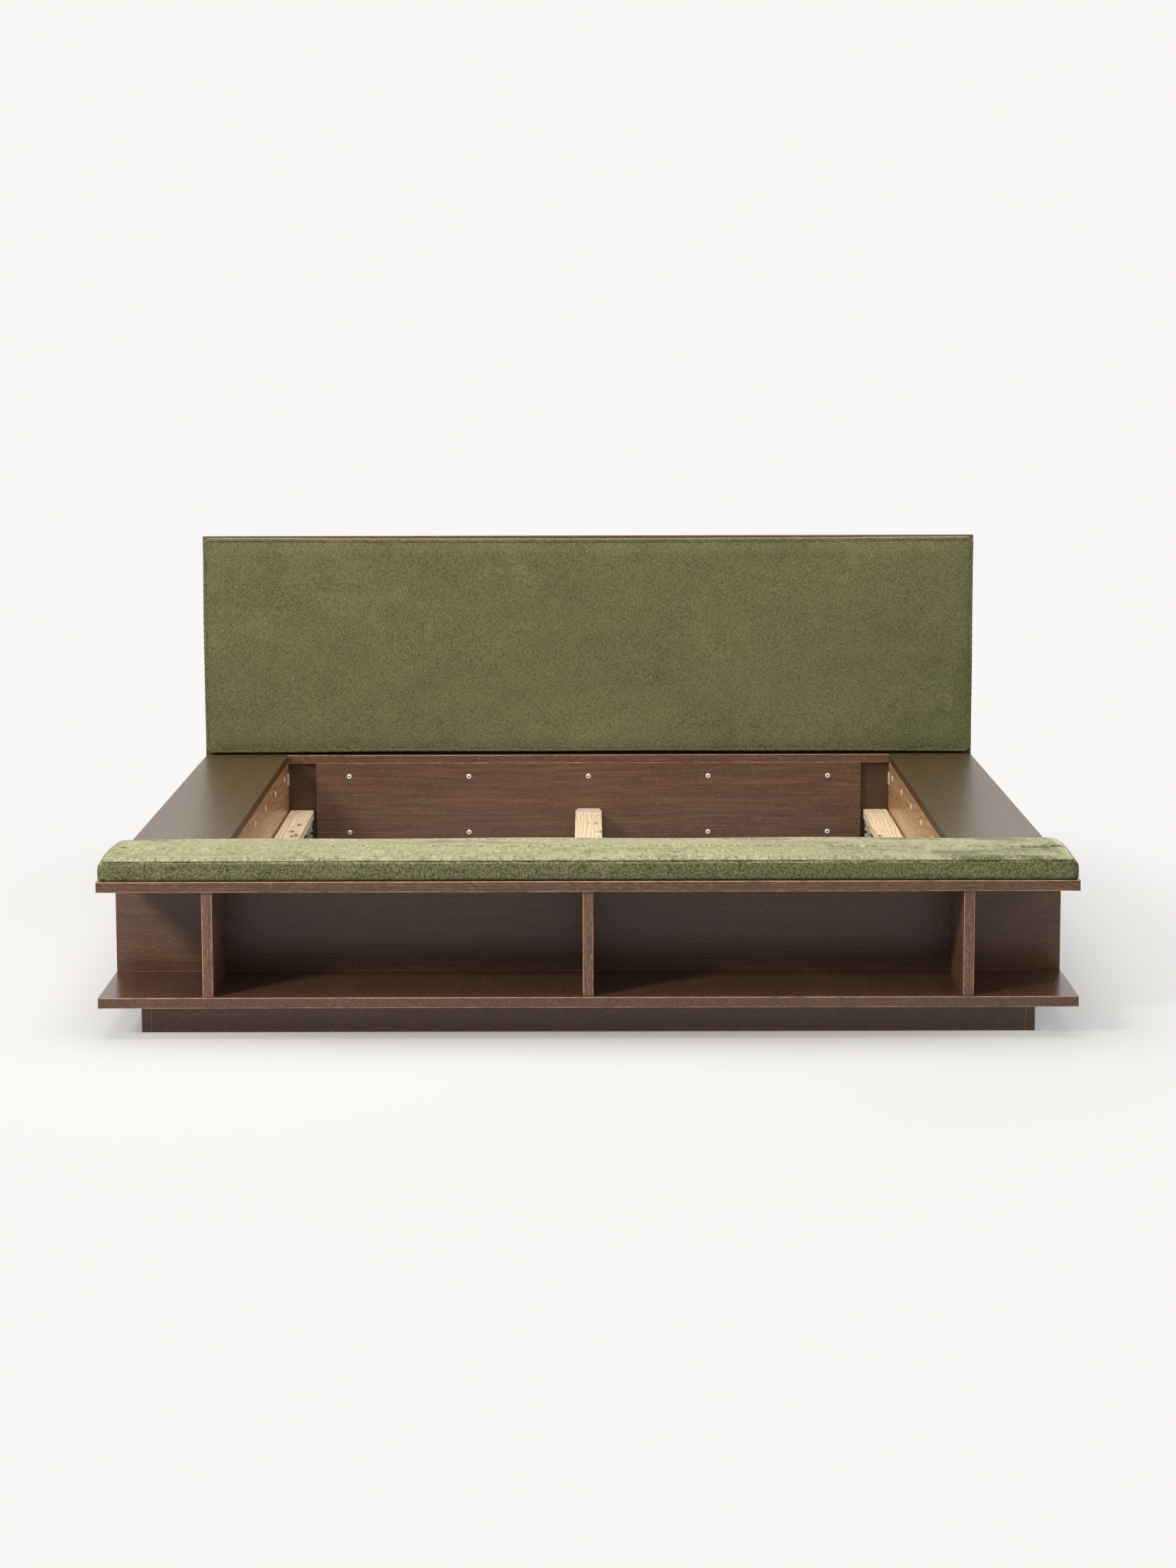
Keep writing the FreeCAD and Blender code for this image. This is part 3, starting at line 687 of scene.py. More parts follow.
@dataclass
class Carcass:
    """The veneered boards of the bed: bench, side boxes, head end, headboard and plinth."""

    shop: Workshop
    stain_light: Colour = (0.148, 0.073, 0.04)
    stain_dark: Colour = (0.062, 0.03, 0.0165)

    def finishes(self) -> dict[str, OakFinish]:
        """Gives the finish of each board by its node."""
        light, dark = self.stain_light, self.stain_dark
        edge = OakFinish("oak_deck", light, dark, streak=2.0, fleck=0.42)
        shelf = OakFinish("oak_shelf", (0.15, 0.077, 0.044), (0.055, 0.028, 0.015),
                          grain=Grain.ALONG, run=Grain.ACROSS, figure=0.5,
                          line_width=0.0064, streak=1.3, fleck=0.5)
        panel = OakFinish("oak_panel", (0.165, 0.085, 0.046), (0.075, 0.038, 0.02),
                          streak=2.6, wear=0.4 * MM)
        head = OakFinish("oak_head", (0.08, 0.042, 0.021), (0.04, 0.02, 0.01), streak=1.6,
                         wear=0.4 * MM)
        upright = OakFinish("oak_upright", (0.195, 0.1, 0.058), (0.078, 0.04, 0.023),
                            grain=Grain.UPRIGHT, streak=3.0, fleck=0.55)
        border = OakFinish("oak_border", (0.086, 0.05, 0.019), (0.04, 0.023, 0.009),
                           grain=Grain.ALONG, figure=0.1, line_width=0.02,
                           wear=0.5 * MM, relief=0.2 * MM, matt=0.075)
        outer = OakFinish("oak_outer", light, dark, grain=Grain.ALONG, figure=0.12,
                          line_width=0.02, streak=2.0, wear=0.8 * MM)
        inner = OakFinish("oak_inner", (0.6, 0.34, 0.165), (0.24, 0.12, 0.052),
                          grain=Grain.ALONG, figure=0.38, line_width=0.02, wander=0.3,
                          streak=1.6, fleck=0.15, wear=0.5 * MM)
        fixing = OakFinish("oak_fixing", (0.15, 0.077, 0.043), (0.062, 0.031, 0.017),
                           figure=0.2, line_width=0.03, streak=2.6, wear=0.4 * MM)
        base = OakFinish("oak_base", (0.15, 0.08, 0.05), (0.078, 0.041, 0.026),
                         streak=1.6, wear=0.4 * MM)
        stile = OakFinish("oak_base_stile", (0.16, 0.084, 0.052), (0.085, 0.045, 0.028),
                          grain=Grain.UPRIGHT, streak=2.0, wear=2.4 * MM)
        runner = OakFinish("oak_base_runner", base.light, base.dark, grain=Grain.ALONG)
        tall = OakFinish("oak_tall", light, dark, figure=0.16, line_width=0.03, wander=0.8,
                         streak=2.0, wear=0.3 * MM, matt=0.3)
        hidden = OakFinish("oak_hidden", light, dark, grain=Grain.ALONG)
        # The rear border's top face carries the painted shadow of the gap under the headboard
        # cushion.
        rear = OakFinish("oak_rear", light, dark, streak=2.2, fleck=0.5, painted_gap_shadow=True)
        table = {
            "bench_top_board": edge, "lower_shelf_board": shelf, "foot_panel": panel,
            "head_panel": head, "headboard_board": tall, "rear_border_board": rear,
            "rear_bottom_board": edge, "headboard_fixing_board": fixing,
            "plinth_front": base, "plinth_rear": base, "plinth_cross_rail": base,
            "plinth_left": stile, "plinth_right": stile,
            "plinth_left_runner": runner, "plinth_right_runner": runner,
            "centre_divider": upright,
        }
        for side in ("left", "right"):
            table[f"{side}_divider"] = upright
            table[f"{side}_border_board"] = border
            table[f"{side}_bottom_board"] = hidden
            table[f"{side}_inner_panel"] = inner
            table[f"{side}_outer_panel"] = outer
            table[f"{side}_box_ribs"] = upright
        return table

    def dress(self) -> None:
        """Dresses every board."""
        finishes = self.finishes()
        for node, finish in finishes.items():
            dress(node, finish.material(self.shop, node))
        log.info("boards: %d nodes dressed", len(finishes))


@dataclass
class MattressSupport:
    """The battens, notched plates, clips, beam and hangers that carry the slatted base."""

    shop: Workshop

    def dress(self) -> None:
        """Dresses the timber and the plates."""
        pine = PineFinish("planed_pine").material(self.shop)
        post = PineFinish("planed_pine_post", grain=Grain.UPRIGHT).material(self.shop)
        zinc = PlatedFinish("zinc_plate", (0.85, 0.85, 0.82), (0.52, 0.52, 0.5), 0.5)
        bright = PlatedFinish("hanger_plate", (0.86, 0.86, 0.85), (0.6, 0.6, 0.59))
        felt = PlainFinish("grey_felt", (0.2, 0.2, 0.19), (0.09, 0.09, 0.085), scale=320,
                           roughness=0.9, relief=0.5 * MM)
        zinc_material = zinc.material(self.shop)
        hanger_material = bright.material(self.shop)
        for node in ("left_batten", "right_batten", "centre_beam"):
            dress(node, pine)
        dress("centre_leg", post)
        dress("centre_leg_pad", felt.material())
        for node in ("beam_hanger_foot", "beam_hanger_head"):
            dress(node, hanger_material)
        for side in ("left", "right"):
            for part in ("batten_clip", "batten_shoes", "corner_plate", "foot_comb",
                         "head_comb"):
                dress(f"{side}_{part}", zinc_material)
        log.info("mattress support dressed")


@dataclass
class Fasteners:
    """The bolts of the headboard and the covers over the cam locks."""

    shop: Workshop
    head: float = 15 * MM
    columns: int = 5

    def dress(self) -> None:
        """Dresses the bolts and the covers."""
        low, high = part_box("headboard_bolts")
        half = self.head / 2
        sockets = SocketRows((high[0] - low[0] - self.head) / (self.columns - 1),
                             (high[2] - half, low[2] + half), low[1])
        steel = PlatedFinish("bolt_plating", (0.95, 0.95, 0.94), (0.8, 0.8, 0.79), 0.35,
                             painted_shade_sockets=sockets)
        dress("headboard_bolts", steel.material(self.shop))
        cover = PlainFinish("cover_plastic", (0.72, 0.66, 0.56), (0.6, 0.54, 0.45), scale=90,
                            roughness=0.42, relief=0.05 * MM)
        material = cover.material()
        for side in ("left", "right"):
            dress(f"{side}_cam_covers", material)
        log.info("fasteners dressed")


@dataclass
class PlateScrews:
    """The countersunk wood screws that hold the steel plates, modelled once and copied."""

    shop: Workshop
    # The head and its recess
    radius: float = 3.5 * MM
    crown: float = 2.6 * MM
    rise: float = 0.6 * MM
    fall: float = 0.35 * MM
    sink: float = 0.3 * MM
    arm: float = 1.0 * MM
    reach: float = 1.2 * MM
    recess: float = 0.4 * MM
    flare: float = 1.15
    slack: float = 0.1 * MM
    sides: int = 12
    # The places on the plates
    sheet: float = 2.5 * MM
    corner_inset: float = 9 * MM
    clip_inset: float = 14 * MM
    comb_inset: float = 5.5 * MM
    comb_heights: tuple[float, float] = (5 * MM, 24 * MM)
    hanger_height: float = 22 * MM
    hanger_inset: float = 18 * MM
    spin: tuple[float, float] = (0.6, 1.1)

    def model(self) -> Thing:
        """Models one screw head with its cross recess, facing up at the origin."""
        select_nothing()
        bpy.ops.mesh.primitive_plane_add(size=self.arm, location=(0, 0, -self.recess))
        head = bpy.context.active_object
        head.name = "screw_head"
        bpy.ops.object.transform_apply(location=True)
        half, rim = self.arm / 2, self.crown - self.slack
        for way in ((1, 0), (-1, 0), (0, 1), (0, -1)):
            self.pick_edges(head, lambda a, b: all(
                abs(p.x * way[0] + p.y * way[1] - half) < WELD for p in (a, b)))
            self.extrude(way[0] * self.reach, way[1] * self.reach, 0)
            bpy.ops.object.mode_set(mode="OBJECT")
        self.pick_edges(head)
        self.extrude(0, 0, self.recess + self.rise)
        bpy.ops.transform.resize(value=(self.flare, self.flare, 1))
        bpy.ops.mesh.primitive_circle_add(vertices=self.sides, radius=self.crown,
                                          location=(0, 0, self.rise))
        bpy.ops.object.mode_set(mode="OBJECT")
        self.pick_edges(head, lambda a, b: min(a.z, b.z) > self.rise - WELD)
        bpy.ops.mesh.bridge_edge_loops()
        bpy.ops.object.mode_set(mode="OBJECT")
        self.pick_edges(head, lambda a, b: min(a.xy.length, b.xy.length) > rim)
        spread = self.radius / self.crown
        self.extrude(0, 0, -self.fall)
        bpy.ops.transform.resize(value=(spread, spread, 1))
        self.extrude(0, 0, self.sink - self.rise)
        bpy.ops.mesh.select_all(action="SELECT")
        bpy.ops.mesh.normals_make_consistent(inside=False)
        bpy.ops.object.mode_set(mode="OBJECT")
        return head

    def extrude(self, x: float, y: float, z: float) -> None:
        """Extrudes what is selected and moves it."""
        bpy.ops.mesh.extrude_region_move(TRANSFORM_OT_translate={"value": (x, y, z)})

    def pick_edges(self, thing: Thing, wanted: Callable | None = None) -> None:
        """Selects, in edit mode, the edges whose two ends pass a test, or the open edges."""
        select_only(thing)
        bpy.ops.object.mode_set(mode="EDIT")
        bpy.ops.mesh.select_mode(type="EDGE")
        bpy.ops.mesh.select_all(action="DESELECT")
        if wanted is None:
            bpy.ops.mesh.select_non_manifold()
            return
        mesh = bmesh.from_edit_mesh(thing.data)
        for edge in mesh.edges:
            edge.select = wanted(edge.verts[0].co, edge.verts[1].co)
        mesh.select_flush_mode()
        bmesh.update_edit_mesh(thing.data)

    def places(self) -> dict[str, list[tuple[Vector, Vector]]]:
        """Gives each group's screws: the point on the plate and the way that it faces."""
        groups: dict[str, list[tuple[Vector, Vector]]] = {}
        ends = (("foot", 1), ("head", -1))
        for side, sign in (("left", -1), ("right", 1)):
            inwards, left = Vector((-sign, 0, 0)), sign < 0
            low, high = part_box(f"{side}_corner_plate")
            x, inset = (high if left else low)[0], self.corner_inset
            groups[f"{side}_corner_plate_screws"] = [
                (Vector((x, low[1] + inset, high[2] - inset)), inwards),
                (Vector((x, high[1] - inset, low[2] + inset)), inwards)]
            low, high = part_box(f"{side}_batten_clip")
            x, inset = inner_face(low[0], high[0], left, self.sheet), self.clip_inset
            groups[f"{side}_clip_screws"] = [
                (Vector((x, y, low[2] + inset)), inwards)
                for y in (low[1] + inset, high[1] - inset)]
            for end, way in ends:
                low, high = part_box(f"{side}_{end}_comb")
                x = inner_face(low[0], high[0], left, self.comb_inset)
                y = (high if way > 0 else low)[1]
                groups[f"{side}_{end}_comb_screws"] = [
                    (Vector((x, y, low[2] + height)), Vector((0, way, 0)))
                    for height in self.comb_heights]
        for end, way in ends:
            low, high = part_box(f"beam_hanger_{end}")
            y = inner_face(low[1], high[1], way > 0, self.sheet)
            groups[f"{end}_hanger_screws"] = [
                (Vector((x, y, low[2] + self.hanger_height)), Vector((0, way, 0)))
                for x in (low[0] + self.hanger_inset, high[0] - self.hanger_inset)]
        return groups

    def build(self) -> None:
        """Copies the screw to every place and dresses it."""
        head = self.model()
        finish = PlatedFinish("screw_plating", (0.82, 0.8, 0.74), (0.5, 0.48, 0.43), 0.7)
        material = finish.material(self.shop)
        groups = self.places()
        for number, (name, screws) in enumerate(groups.items()):
            copies = []
            for turn, (spot, facing) in enumerate(screws):
                copy = add_object(name, head.data.copy())
                aim = facing.to_track_quat("Z", "Y").to_matrix().to_4x4()
                spun = Matrix.Rotation(self.spin[0] * number + self.spin[1] * turn, 4, "Z")
                copy.data.transform(Matrix.Translation(spot) @ aim @ spun)
                copies.append(copy)
            select_only(*copies)
            bpy.ops.object.join()
            copies[0].data.materials.append(material)
            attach(copies[0], Body.FRAME.value)
        bpy.data.objects.remove(head)
        log.info("screws: %d groups", len(groups))


def inner_face(low: float, high: float, from_low: bool, inset: float) -> float:
    """Gives a place at a distance from one end of a span."""
    return low + inset if from_low else high - inset


@dataclass
class Cushion:
    """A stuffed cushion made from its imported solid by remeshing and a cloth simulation.

    The rest axis and side say which face it rests on. Heights are taken off that face, and
    depths are taken inwards from the four sides round it.
    """

    node: str
    body: Body
    rest_axis: int
    rest_side: int
    seam_depth: float
    side: float
    fill: float = 0.8
    # The skin, and the cloth that swells it
    voxel: float = 6 * MM
    shrink: float = 1.5 * MM
    pin_band: float = 1.5 * MM
    pressure: float = 4.0
    frames: int = 12
    cap: float = 7 * MM
    seam_hold: float = 55 * MM
    # The outline and its edges
    outgrow: tuple[float, float, float] = (0.0, 0.0, 0.0)
    side_band: float = 5 * MM
    round_edge: float = 11 * MM
    rest_edge: float = 7 * MM
    lift_reach: float = 70 * MM
    corner: float = 8 * MM
    rounding: tuple[float, float] = (13 * MM, 13 * MM)
    # The seam, the fabric beside it, and the painted shade along the seam and where the cushion
    # rests
    groove: float = 2.2 * MM
    ridge_half: float = 2.9 * MM
    line_width: float = 1.9 * MM
    seam_band: float = 4 * MM
    pucker: float = 0.55 * MM
    pucker_pitch: float = 31 * MM
    pucker_reach: float = 9 * MM
    drift: float = 1.2 * MM
    free_height: float = 15 * MM
    shade: float = 0.9
    painted_contact_height: float = 5 * MM
    painted_contact_shade: float = 0.95

    def outline_axes(self) -> list[int]:
        """Gives the two axes along the resting face."""
        return [axis for axis in range(3) if axis != self.rest_axis]

    def rest_plane(self) -> float:
        """Gives where the solid's resting face lies."""
        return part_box(self.node)[self.rest_side > 0][self.rest_axis]

    def copy_solid(self) -> Thing:
        """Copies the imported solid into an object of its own, merged and a little smaller."""
        piece = add_object(f"{self.node}_cover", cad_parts[self.node].data.copy())
        select_only(piece)
        bpy.ops.object.mode_set(mode="EDIT")
        bpy.ops.mesh.select_all(action="SELECT")
        bpy.ops.mesh.remove_doubles(threshold=WELD)
        bpy.ops.object.mode_set(mode="OBJECT")
        spots = read_points(piece)
        low, high = spots.min(0), spots.max(0)
        centre = (low + high) / 2
        centre[self.rest_axis] = self.rest_level(spots)
        scale = 1 - 2 * self.shrink / (high - low)
        write_points(piece, centre + (spots - centre) * scale)
        return piece

    def remesh(self, piece: Thing) -> None:
        """Gives the piece an even skin."""
        modifier = piece.modifiers.new("Skin", "REMESH")
        modifier.mode = "VOXEL"
        modifier.voxel_size = self.voxel
        apply_modifier(piece, modifier)

    def stuff(self, piece: Thing) -> None:
        """Swells the piece by a cloth simulation with its resting face pinned."""
        start = read_points(piece)
        off = np.abs(start[:, self.rest_axis] - self.rest_level(start))
        held = np.nonzero(off < self.pin_band)[0]
        pins = piece.vertex_groups.new(name="rest")
        pins.add(held.tolist(), 1.0, "REPLACE")
        modifier = piece.modifiers.new("Cloth", "CLOTH")
        modifier.settings.effector_weights.gravity = 0
        for name, value in (
                ("use_pressure", True), ("uniform_pressure_force", self.pressure),
                ("vertex_group_mass", "rest"), ("quality", 4), ("tension_stiffness", 25),
                ("compression_stiffness", 25), ("shear_stiffness", 15),
                ("bending_stiffness", 2)):
            setattr(modifier.settings, name, value)
        modifier.point_cache.frame_start = 1
        modifier.point_cache.frame_end = self.frames
        for number in range(1, self.frames + 1):
            bpy.context.scene.frame_set(number)
        apply_modifier(piece, modifier)
        bpy.context.scene.frame_set(1)
        move = read_points(piece) - start
        length = np.linalg.norm(move, axis=1, keepdims=True)
        move *= np.minimum(1, self.cap / np.maximum(length, 1e-9))
        height = self.height(start)
        inside = nearest_side(self.depths(start, height))
        move *= ease(np.maximum(inside, self.side - height) / self.seam_hold)[:, None]
        write_points(piece, start + move)
        piece.vertex_groups.clear()
        log.info("%s: cloth moved the skin up to %.1f mm", piece.name, length.max() / MM)

    def rest_level(self, spots: np.ndarray) -> float:
        """Gives the level of the resting face of the skin itself."""
        column = spots[:, self.rest_axis]
        return float(column.max() if self.rest_side > 0 else column.min())

    def refine(self, piece: Thing) -> None:
        """Subdivides the skin once."""
        modifier = piece.modifiers.new("Finer", "SUBSURF")
        modifier.levels = 1
        modifier.render_levels = 1
        apply_modifier(piece, modifier)

    def seam_distance(self, spots: np.ndarray) -> tuple[np.ndarray, np.ndarray]:
        """Gives how far each point lies from the seam, and its place along the seam.

        Args:
            spots: The points of the skin.

        Returns:
            The signed distance over the surface, and the run along the seam, in metres.
        """
        raise NotImplementedError

    def sew(self, piece: Thing) -> None:
        """Draws the skin in along its seam, with small puckers beside it, and keeps painted
        shade along the seam and where the cushion rests.
        """
        spots = read_points(piece)
        normals = read_points(piece, "normal")
        away, run = self.seam_distance(spots)
        broken = 0.72 + 0.28 * np.sin(run * 61.0 + 2.5 * np.sin(run * 9.0))
        above, below = (np.exp(-((away + shift) / self.line_width) ** 2)
                        for shift in (-self.ridge_half, self.ridge_half))
        draw = self.groove * broken * (above + below)
        wave = np.sin(run * FULL_TURN / self.pucker_pitch + 2.1 * np.sin(run * 17.0))
        wave = wave * (0.6 + 0.4 * np.sin(run * 5.3 + 1.0))
        side = np.exp(-((np.abs(away) - self.pucker_reach) / self.pucker_reach) ** 2)
        pucker = self.pucker * wave * side
        slow = np.sin(spots[:, 0] * 9.1 + 1.3 * np.sin(spots[:, 2] * 7.0 + 0.4))
        slow *= self.drift * np.sin(spots[:, 1] * 13.0 + spots[:, 2] * 6.0 + 0.8)
        off = np.abs(spots[:, self.rest_axis] - self.rest_level(spots))
        free = np.clip(off / self.free_height, 0, 1)
        write_points(piece, spots + normals * ((pucker + slow - draw) * free)[:, None])
        # Painted shade along the seam's groove.
        line = np.maximum(above, below) * broken * self.shade * (free > 0.3)
        # Painted shade along the line where the cushion rests on the board.
        rest = np.clip(1.4 - off / self.painted_contact_height, 0, 1)
        line = np.maximum(line, self.painted_contact_shade * rest)
        write_painted_shade(piece, line)

    def fit(self, piece: Thing) -> None:
        """Stretches the skin to the box of its solid, grown except where the cushion rests."""
        low, high = (np.array(corner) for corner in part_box(self.node))
        spots = read_points(piece)
        lowest, highest = spots.min(0), spots.max(0)
        share = (spots - lowest) / (highest - lowest)
        below, above = np.array(self.outgrow), np.array(self.outgrow)
        (above if self.rest_side > 0 else below)[self.rest_axis] = 0
        low, high = low - below, high + above
        write_points(piece, low + share * (high - low))

    def height(self, spots: np.ndarray) -> np.ndarray:
        """Gives how far each point stands off the resting face of the solid."""
        return -self.rest_side * (spots[:, self.rest_axis] - self.rest_plane())

    def depths(self, spots: np.ndarray, height: np.ndarray) -> Depths:
        """Gives how far each point lies inside each of the four sides.

        Args:
            spots: The points of the skin.
            height: Their heights above the resting face.

        Returns:
            The distances, by the axis and sign of the side.
        """
        rim = spots[np.abs(height - self.side / 2) < self.side_band]
        return outline_depths(spots, rim, *self.outline_axes())

    def crisp(self, piece: Thing) -> None:
        """Brings the rim up to its seam and pulls the rounded edges out to sharp ones."""
        spots = read_points(piece)
        first, second = self.outline_axes()
        height = self.height(spots)
        inside = nearest_side(self.depths(spots, height))
        ring = (inside > self.round_edge) & (inside < self.round_edge + self.side_band)
        lift = self.side - np.median(height[ring & (height > self.side / 2)])
        height += lift * ease(1 - inside / self.lift_reach) * np.clip(
            2 * height / self.side - 1, 0, 1)
        log.info("%s: rim lifted by %.1f mm", piece.name, lift / MM)
        for sign_up, radius in ((1, self.round_edge), (-1, self.rest_edge)):
            gap = self.side - height if sign_up > 0 else height.copy()
            close = (gap < radius) & (inside < radius)
            pull = np.maximum(gap, 0) * (1 - np.clip(gap / radius, 0, 1)) * close
            height += sign_up * pull
            depths = self.depths(spots, self.height(spots))
            for (out, sign), depth in depths.items():
                beside = second if out == first else first
                other = np.minimum(depths[beside, -1], depths[beside, 1])
                share = np.clip(depth / radius, 0, 1)
                pull = np.maximum(depth, 0) * (1 - share) * np.clip(other / self.corner, 0, 1)
                spots[:, out] += sign * pull * close
        spots[:, self.rest_axis] = self.rest_plane() - self.rest_side * height
        write_points(piece, spots)

    def round_corners(self, piece: Thing) -> None:
        """Rounds the four corners of the outline."""
        spots = read_points(piece)
        depths = self.depths(spots, self.height(spots))
        first, second = self.outline_axes()
        for end in (-1, 1):
            for side, radius in zip((-1, 1), self.rounding):
                along = np.maximum(radius - depths[first, end], 0)
                across = np.maximum(radius - depths[second, side], 0)
                far = np.maximum(np.hypot(along, across), 1e-9)
                drawn = 1 - np.maximum(along, across) / far
                spots[:, first] -= end * along * drawn
                spots[:, second] -= side * across * drawn
        write_points(piece, spots)

    def settle(self, piece: Thing) -> None:
        """Keeps the skin off what the cushion rests on."""
        spots = read_points(piece)
        inner = np.minimum if self.rest_side > 0 else np.maximum
        spots[:, self.rest_axis] = inner(spots[:, self.rest_axis], self.rest_plane())
        write_points(piece, spots)

    def build(self) -> Thing:
        """Makes the cushion and puts it in place of its solid."""
        piece = self.copy_solid()
        self.remesh(piece)
        self.stuff(piece)
        self.refine(piece)
        self.fit(piece)
        self.crisp(piece)
        self.sew(piece)
        self.round_corners(piece)
        self.settle(piece)
        select_only(piece)
        bpy.ops.object.shade_smooth()
        return piece

    def dress(self, piece: Thing, material: Material) -> None:
        """Gives the cushion its fabric and says what it stands for."""
        piece.data.materials.clear()
        piece.data.materials.append(material)
        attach(piece, self.body.value)
        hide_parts(self.node)
        log.info("%s: %d faces", piece.name, len(piece.data.polygons))


@dataclass
class BenchCushion(Cushion):
    """The loose seat cushion on the bench, sewn round the upper edge of its side."""

    welt_radius: float = 1.3 * MM
    welt_out: float = 0.35 * MM
    welt_step: float = 4 * MM
    welt_drop: float = 0.8 * MM
    welt_swell: float = 0.16
    welt_pitch: float = 19 * MM
    welt_painted_shade: float = 0.5

    def seam_distance(self, spots: np.ndarray) -> tuple[np.ndarray, np.ndarray]:
        """Gives the distance from the seam at the top of the side, and the run along it."""
        level = self.rest_plane() + self.seam_depth
        near = spots[np.abs(spots[:, 2] - level) < self.seam_band]
        inwards = nearest_side(outline_depths(spots, near, 0, 1))
        return inwards - (level - spots[:, 2]), spots[:, 0] + RUN_SKEW * spots[:, 1]

    def welt(self, piece: Thing, material: Material) -> None:
        """Lays the thin sewn welt into the seam.

        Args:
            piece: The finished cushion.
            material: Its fabric.
        """
        ring = cut_loop(piece, self.rest_plane() + self.seam_depth - self.welt_drop)
        line = even_loop(ring, self.welt_step)
        line += self.welt_out * loop_outwards(line)
        curve = bpy.data.curves.new("welt_line", "CURVE")
        curve.dimensions = "3D"
        curve.bevel_depth = self.welt_radius
        curve.bevel_resolution = 1
        spline = curve.splines.new("POLY")
        spline.points.add(len(line) - 1)
        spline.use_cyclic_u = True
        run = np.arange(len(line)) * self.welt_step
        swell = np.sin(run * FULL_TURN / self.welt_pitch + 2 * np.sin(run * 13))
        for point, spot, size in zip(spline.points, line, 1 + self.welt_swell * swell):
            point.co = (*spot, 1.0)
            point.radius = size
        select_only(add_object("bench_cushion_welt", curve))
        bpy.ops.object.convert(target="MESH")
        welt = bpy.context.active_object
        bpy.ops.object.shade_smooth()
        welt.data.materials.clear()
        welt.data.materials.append(material)
        # The welt is darkened as painted shade in the seam.
        write_painted_shade(welt, np.full(len(welt.data.vertices), self.welt_painted_shade))
        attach(welt, self.body.value)
        log.info("%s: %d faces", welt.name, len(welt.data.polygons))


@dataclass
class HeadboardCushion(Cushion):
    """The upholstered panel on the front of the headboard, sewn just inside its outline."""

    seam_band: float = 6 * MM
    beyond: float = 100 * MM

    def seam_distance(self, spots: np.ndarray) -> tuple[np.ndarray, np.ndarray]:
        """Gives the distance from the seam inside the outline, and the run along it."""
        low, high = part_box(self.node)
        middle = (low[1] + high[1]) / 2
        near = spots[np.abs(spots[:, 1] - middle) < self.seam_band]
        inwards = nearest_side(outline_depths(spots, near, 0, 2)) - self.seam_depth
        away = np.where(spots[:, 1] < middle, inwards, self.beyond)
        return away, spots[:, 0] + RUN_SKEW * spots[:, 2]


def ease(share: np.ndarray) -> np.ndarray:
    """Holds shares between 0 and 1 and eases them in and out."""
    held = np.clip(share, 0, 1)
    return held * held * (3 - 2 * held)


def outline_depths(spots: np.ndarray, rim: np.ndarray, first: int, second: int) -> Depths:
    """Gives how far points lie inside each side of an outline that is nearly a rectangle.

    Args:
        spots: The points.
        rim: The points near the level of the outline.
        first: The axis along the longer sides.
        second: The axis along the shorter sides.

    Returns:
        The distances in metres, by the axis and sign of the side.
    """
    return {(out, sign): side_reach(spots, rim, along, out, sign) - sign * spots[:, out]
            for along, out in ((first, second), (second, first)) for sign in (-1, 1)}


def nearest_side(depths: Depths) -> np.ndarray:
    """Gives each point's distance from the side that is nearest to it."""
    return np.min(list(depths.values()), axis=0)


def side_reach(spots: np.ndarray, rim: np.ndarray, along: int, out: int, sign: int,
               slots: int = 60) -> np.ndarray:
    """Gives how far out one side of an outline lies beside each point.

    Args:
        spots: The points.
        rim: The points near the level of the outline.
        along: The axis along the side.
        out: The axis across it.
        sign: The side, -1 or 1.
        slots: How many stations the side is read at.

    Returns:
        The side's place, times the sign.
    """
    edges = np.linspace(rim[:, along].min(), rim[:, along].max(), slots + 1)
    numbers = np.clip(np.digitize(rim[:, along], edges) - 1, 0, slots - 1)
    reach = np.full(slots, -np.inf)
    np.maximum.at(reach, numbers, sign * rim[:, out])
    return np.interp(spots[:, along], (edges[:-1] + edges[1:]) / 2, reach)


def cut_loop(piece: Thing, level: float) -> np.ndarray:
    """Cuts a copy of a closed skin level and gives the ring of the cut.

    Args:
        piece: The piece with the skin.
        level: The height of the cut.

    Returns:
        The points of the ring, in order.
    """
    copy = bmesh.new()
    copy.from_mesh(piece.data)
    bmesh.ops.bisect_plane(copy, geom=copy.verts[:] + copy.edges[:] + copy.faces[:],
                           plane_co=(0, 0, level), plane_no=(0, 0, 1), clear_inner=True)
    left = {edge for edge in copy.edges if edge.is_boundary}
    vertex = next(edge for edge in copy.edges if edge.is_boundary).verts[0]
    ring = []
    while link := next((edge for edge in vertex.link_edges if edge in left), None):
        ring.append(tuple(vertex.co))
        left.remove(link)
        vertex = link.other_vert(vertex)
    log.info("%s: %d points in the seam's ring", piece.name, len(ring))
    copy.free()
    return np.array(ring)


def even_loop(ring: np.ndarray, step: float) -> np.ndarray:
    """Gives a ring's points again at even distances."""
    closed = np.vstack([ring, ring[:1]])
    lengths = np.r_[0, np.cumsum(np.linalg.norm(np.diff(closed, axis=0), axis=1))]
    marks = np.linspace(0, lengths[-1], int(lengths[-1] / step), endpoint=False)
    return np.column_stack([np.interp(marks, lengths, closed[:, axis]) for axis in range(3)])


def loop_outwards(line: np.ndarray) -> np.ndarray:
    """Gives the level direction that points out of a ring at each of its points."""
    ahead = np.roll(line, -1, axis=0) - np.roll(line, 1, axis=0)
    out = np.column_stack([ahead[:, 1], -ahead[:, 0], np.zeros(len(line))])
    out /= np.linalg.norm(out, axis=1, keepdims=True)
    centre = line.mean(0)
    return out * np.sign(((line - centre) * out).sum(1).mean())


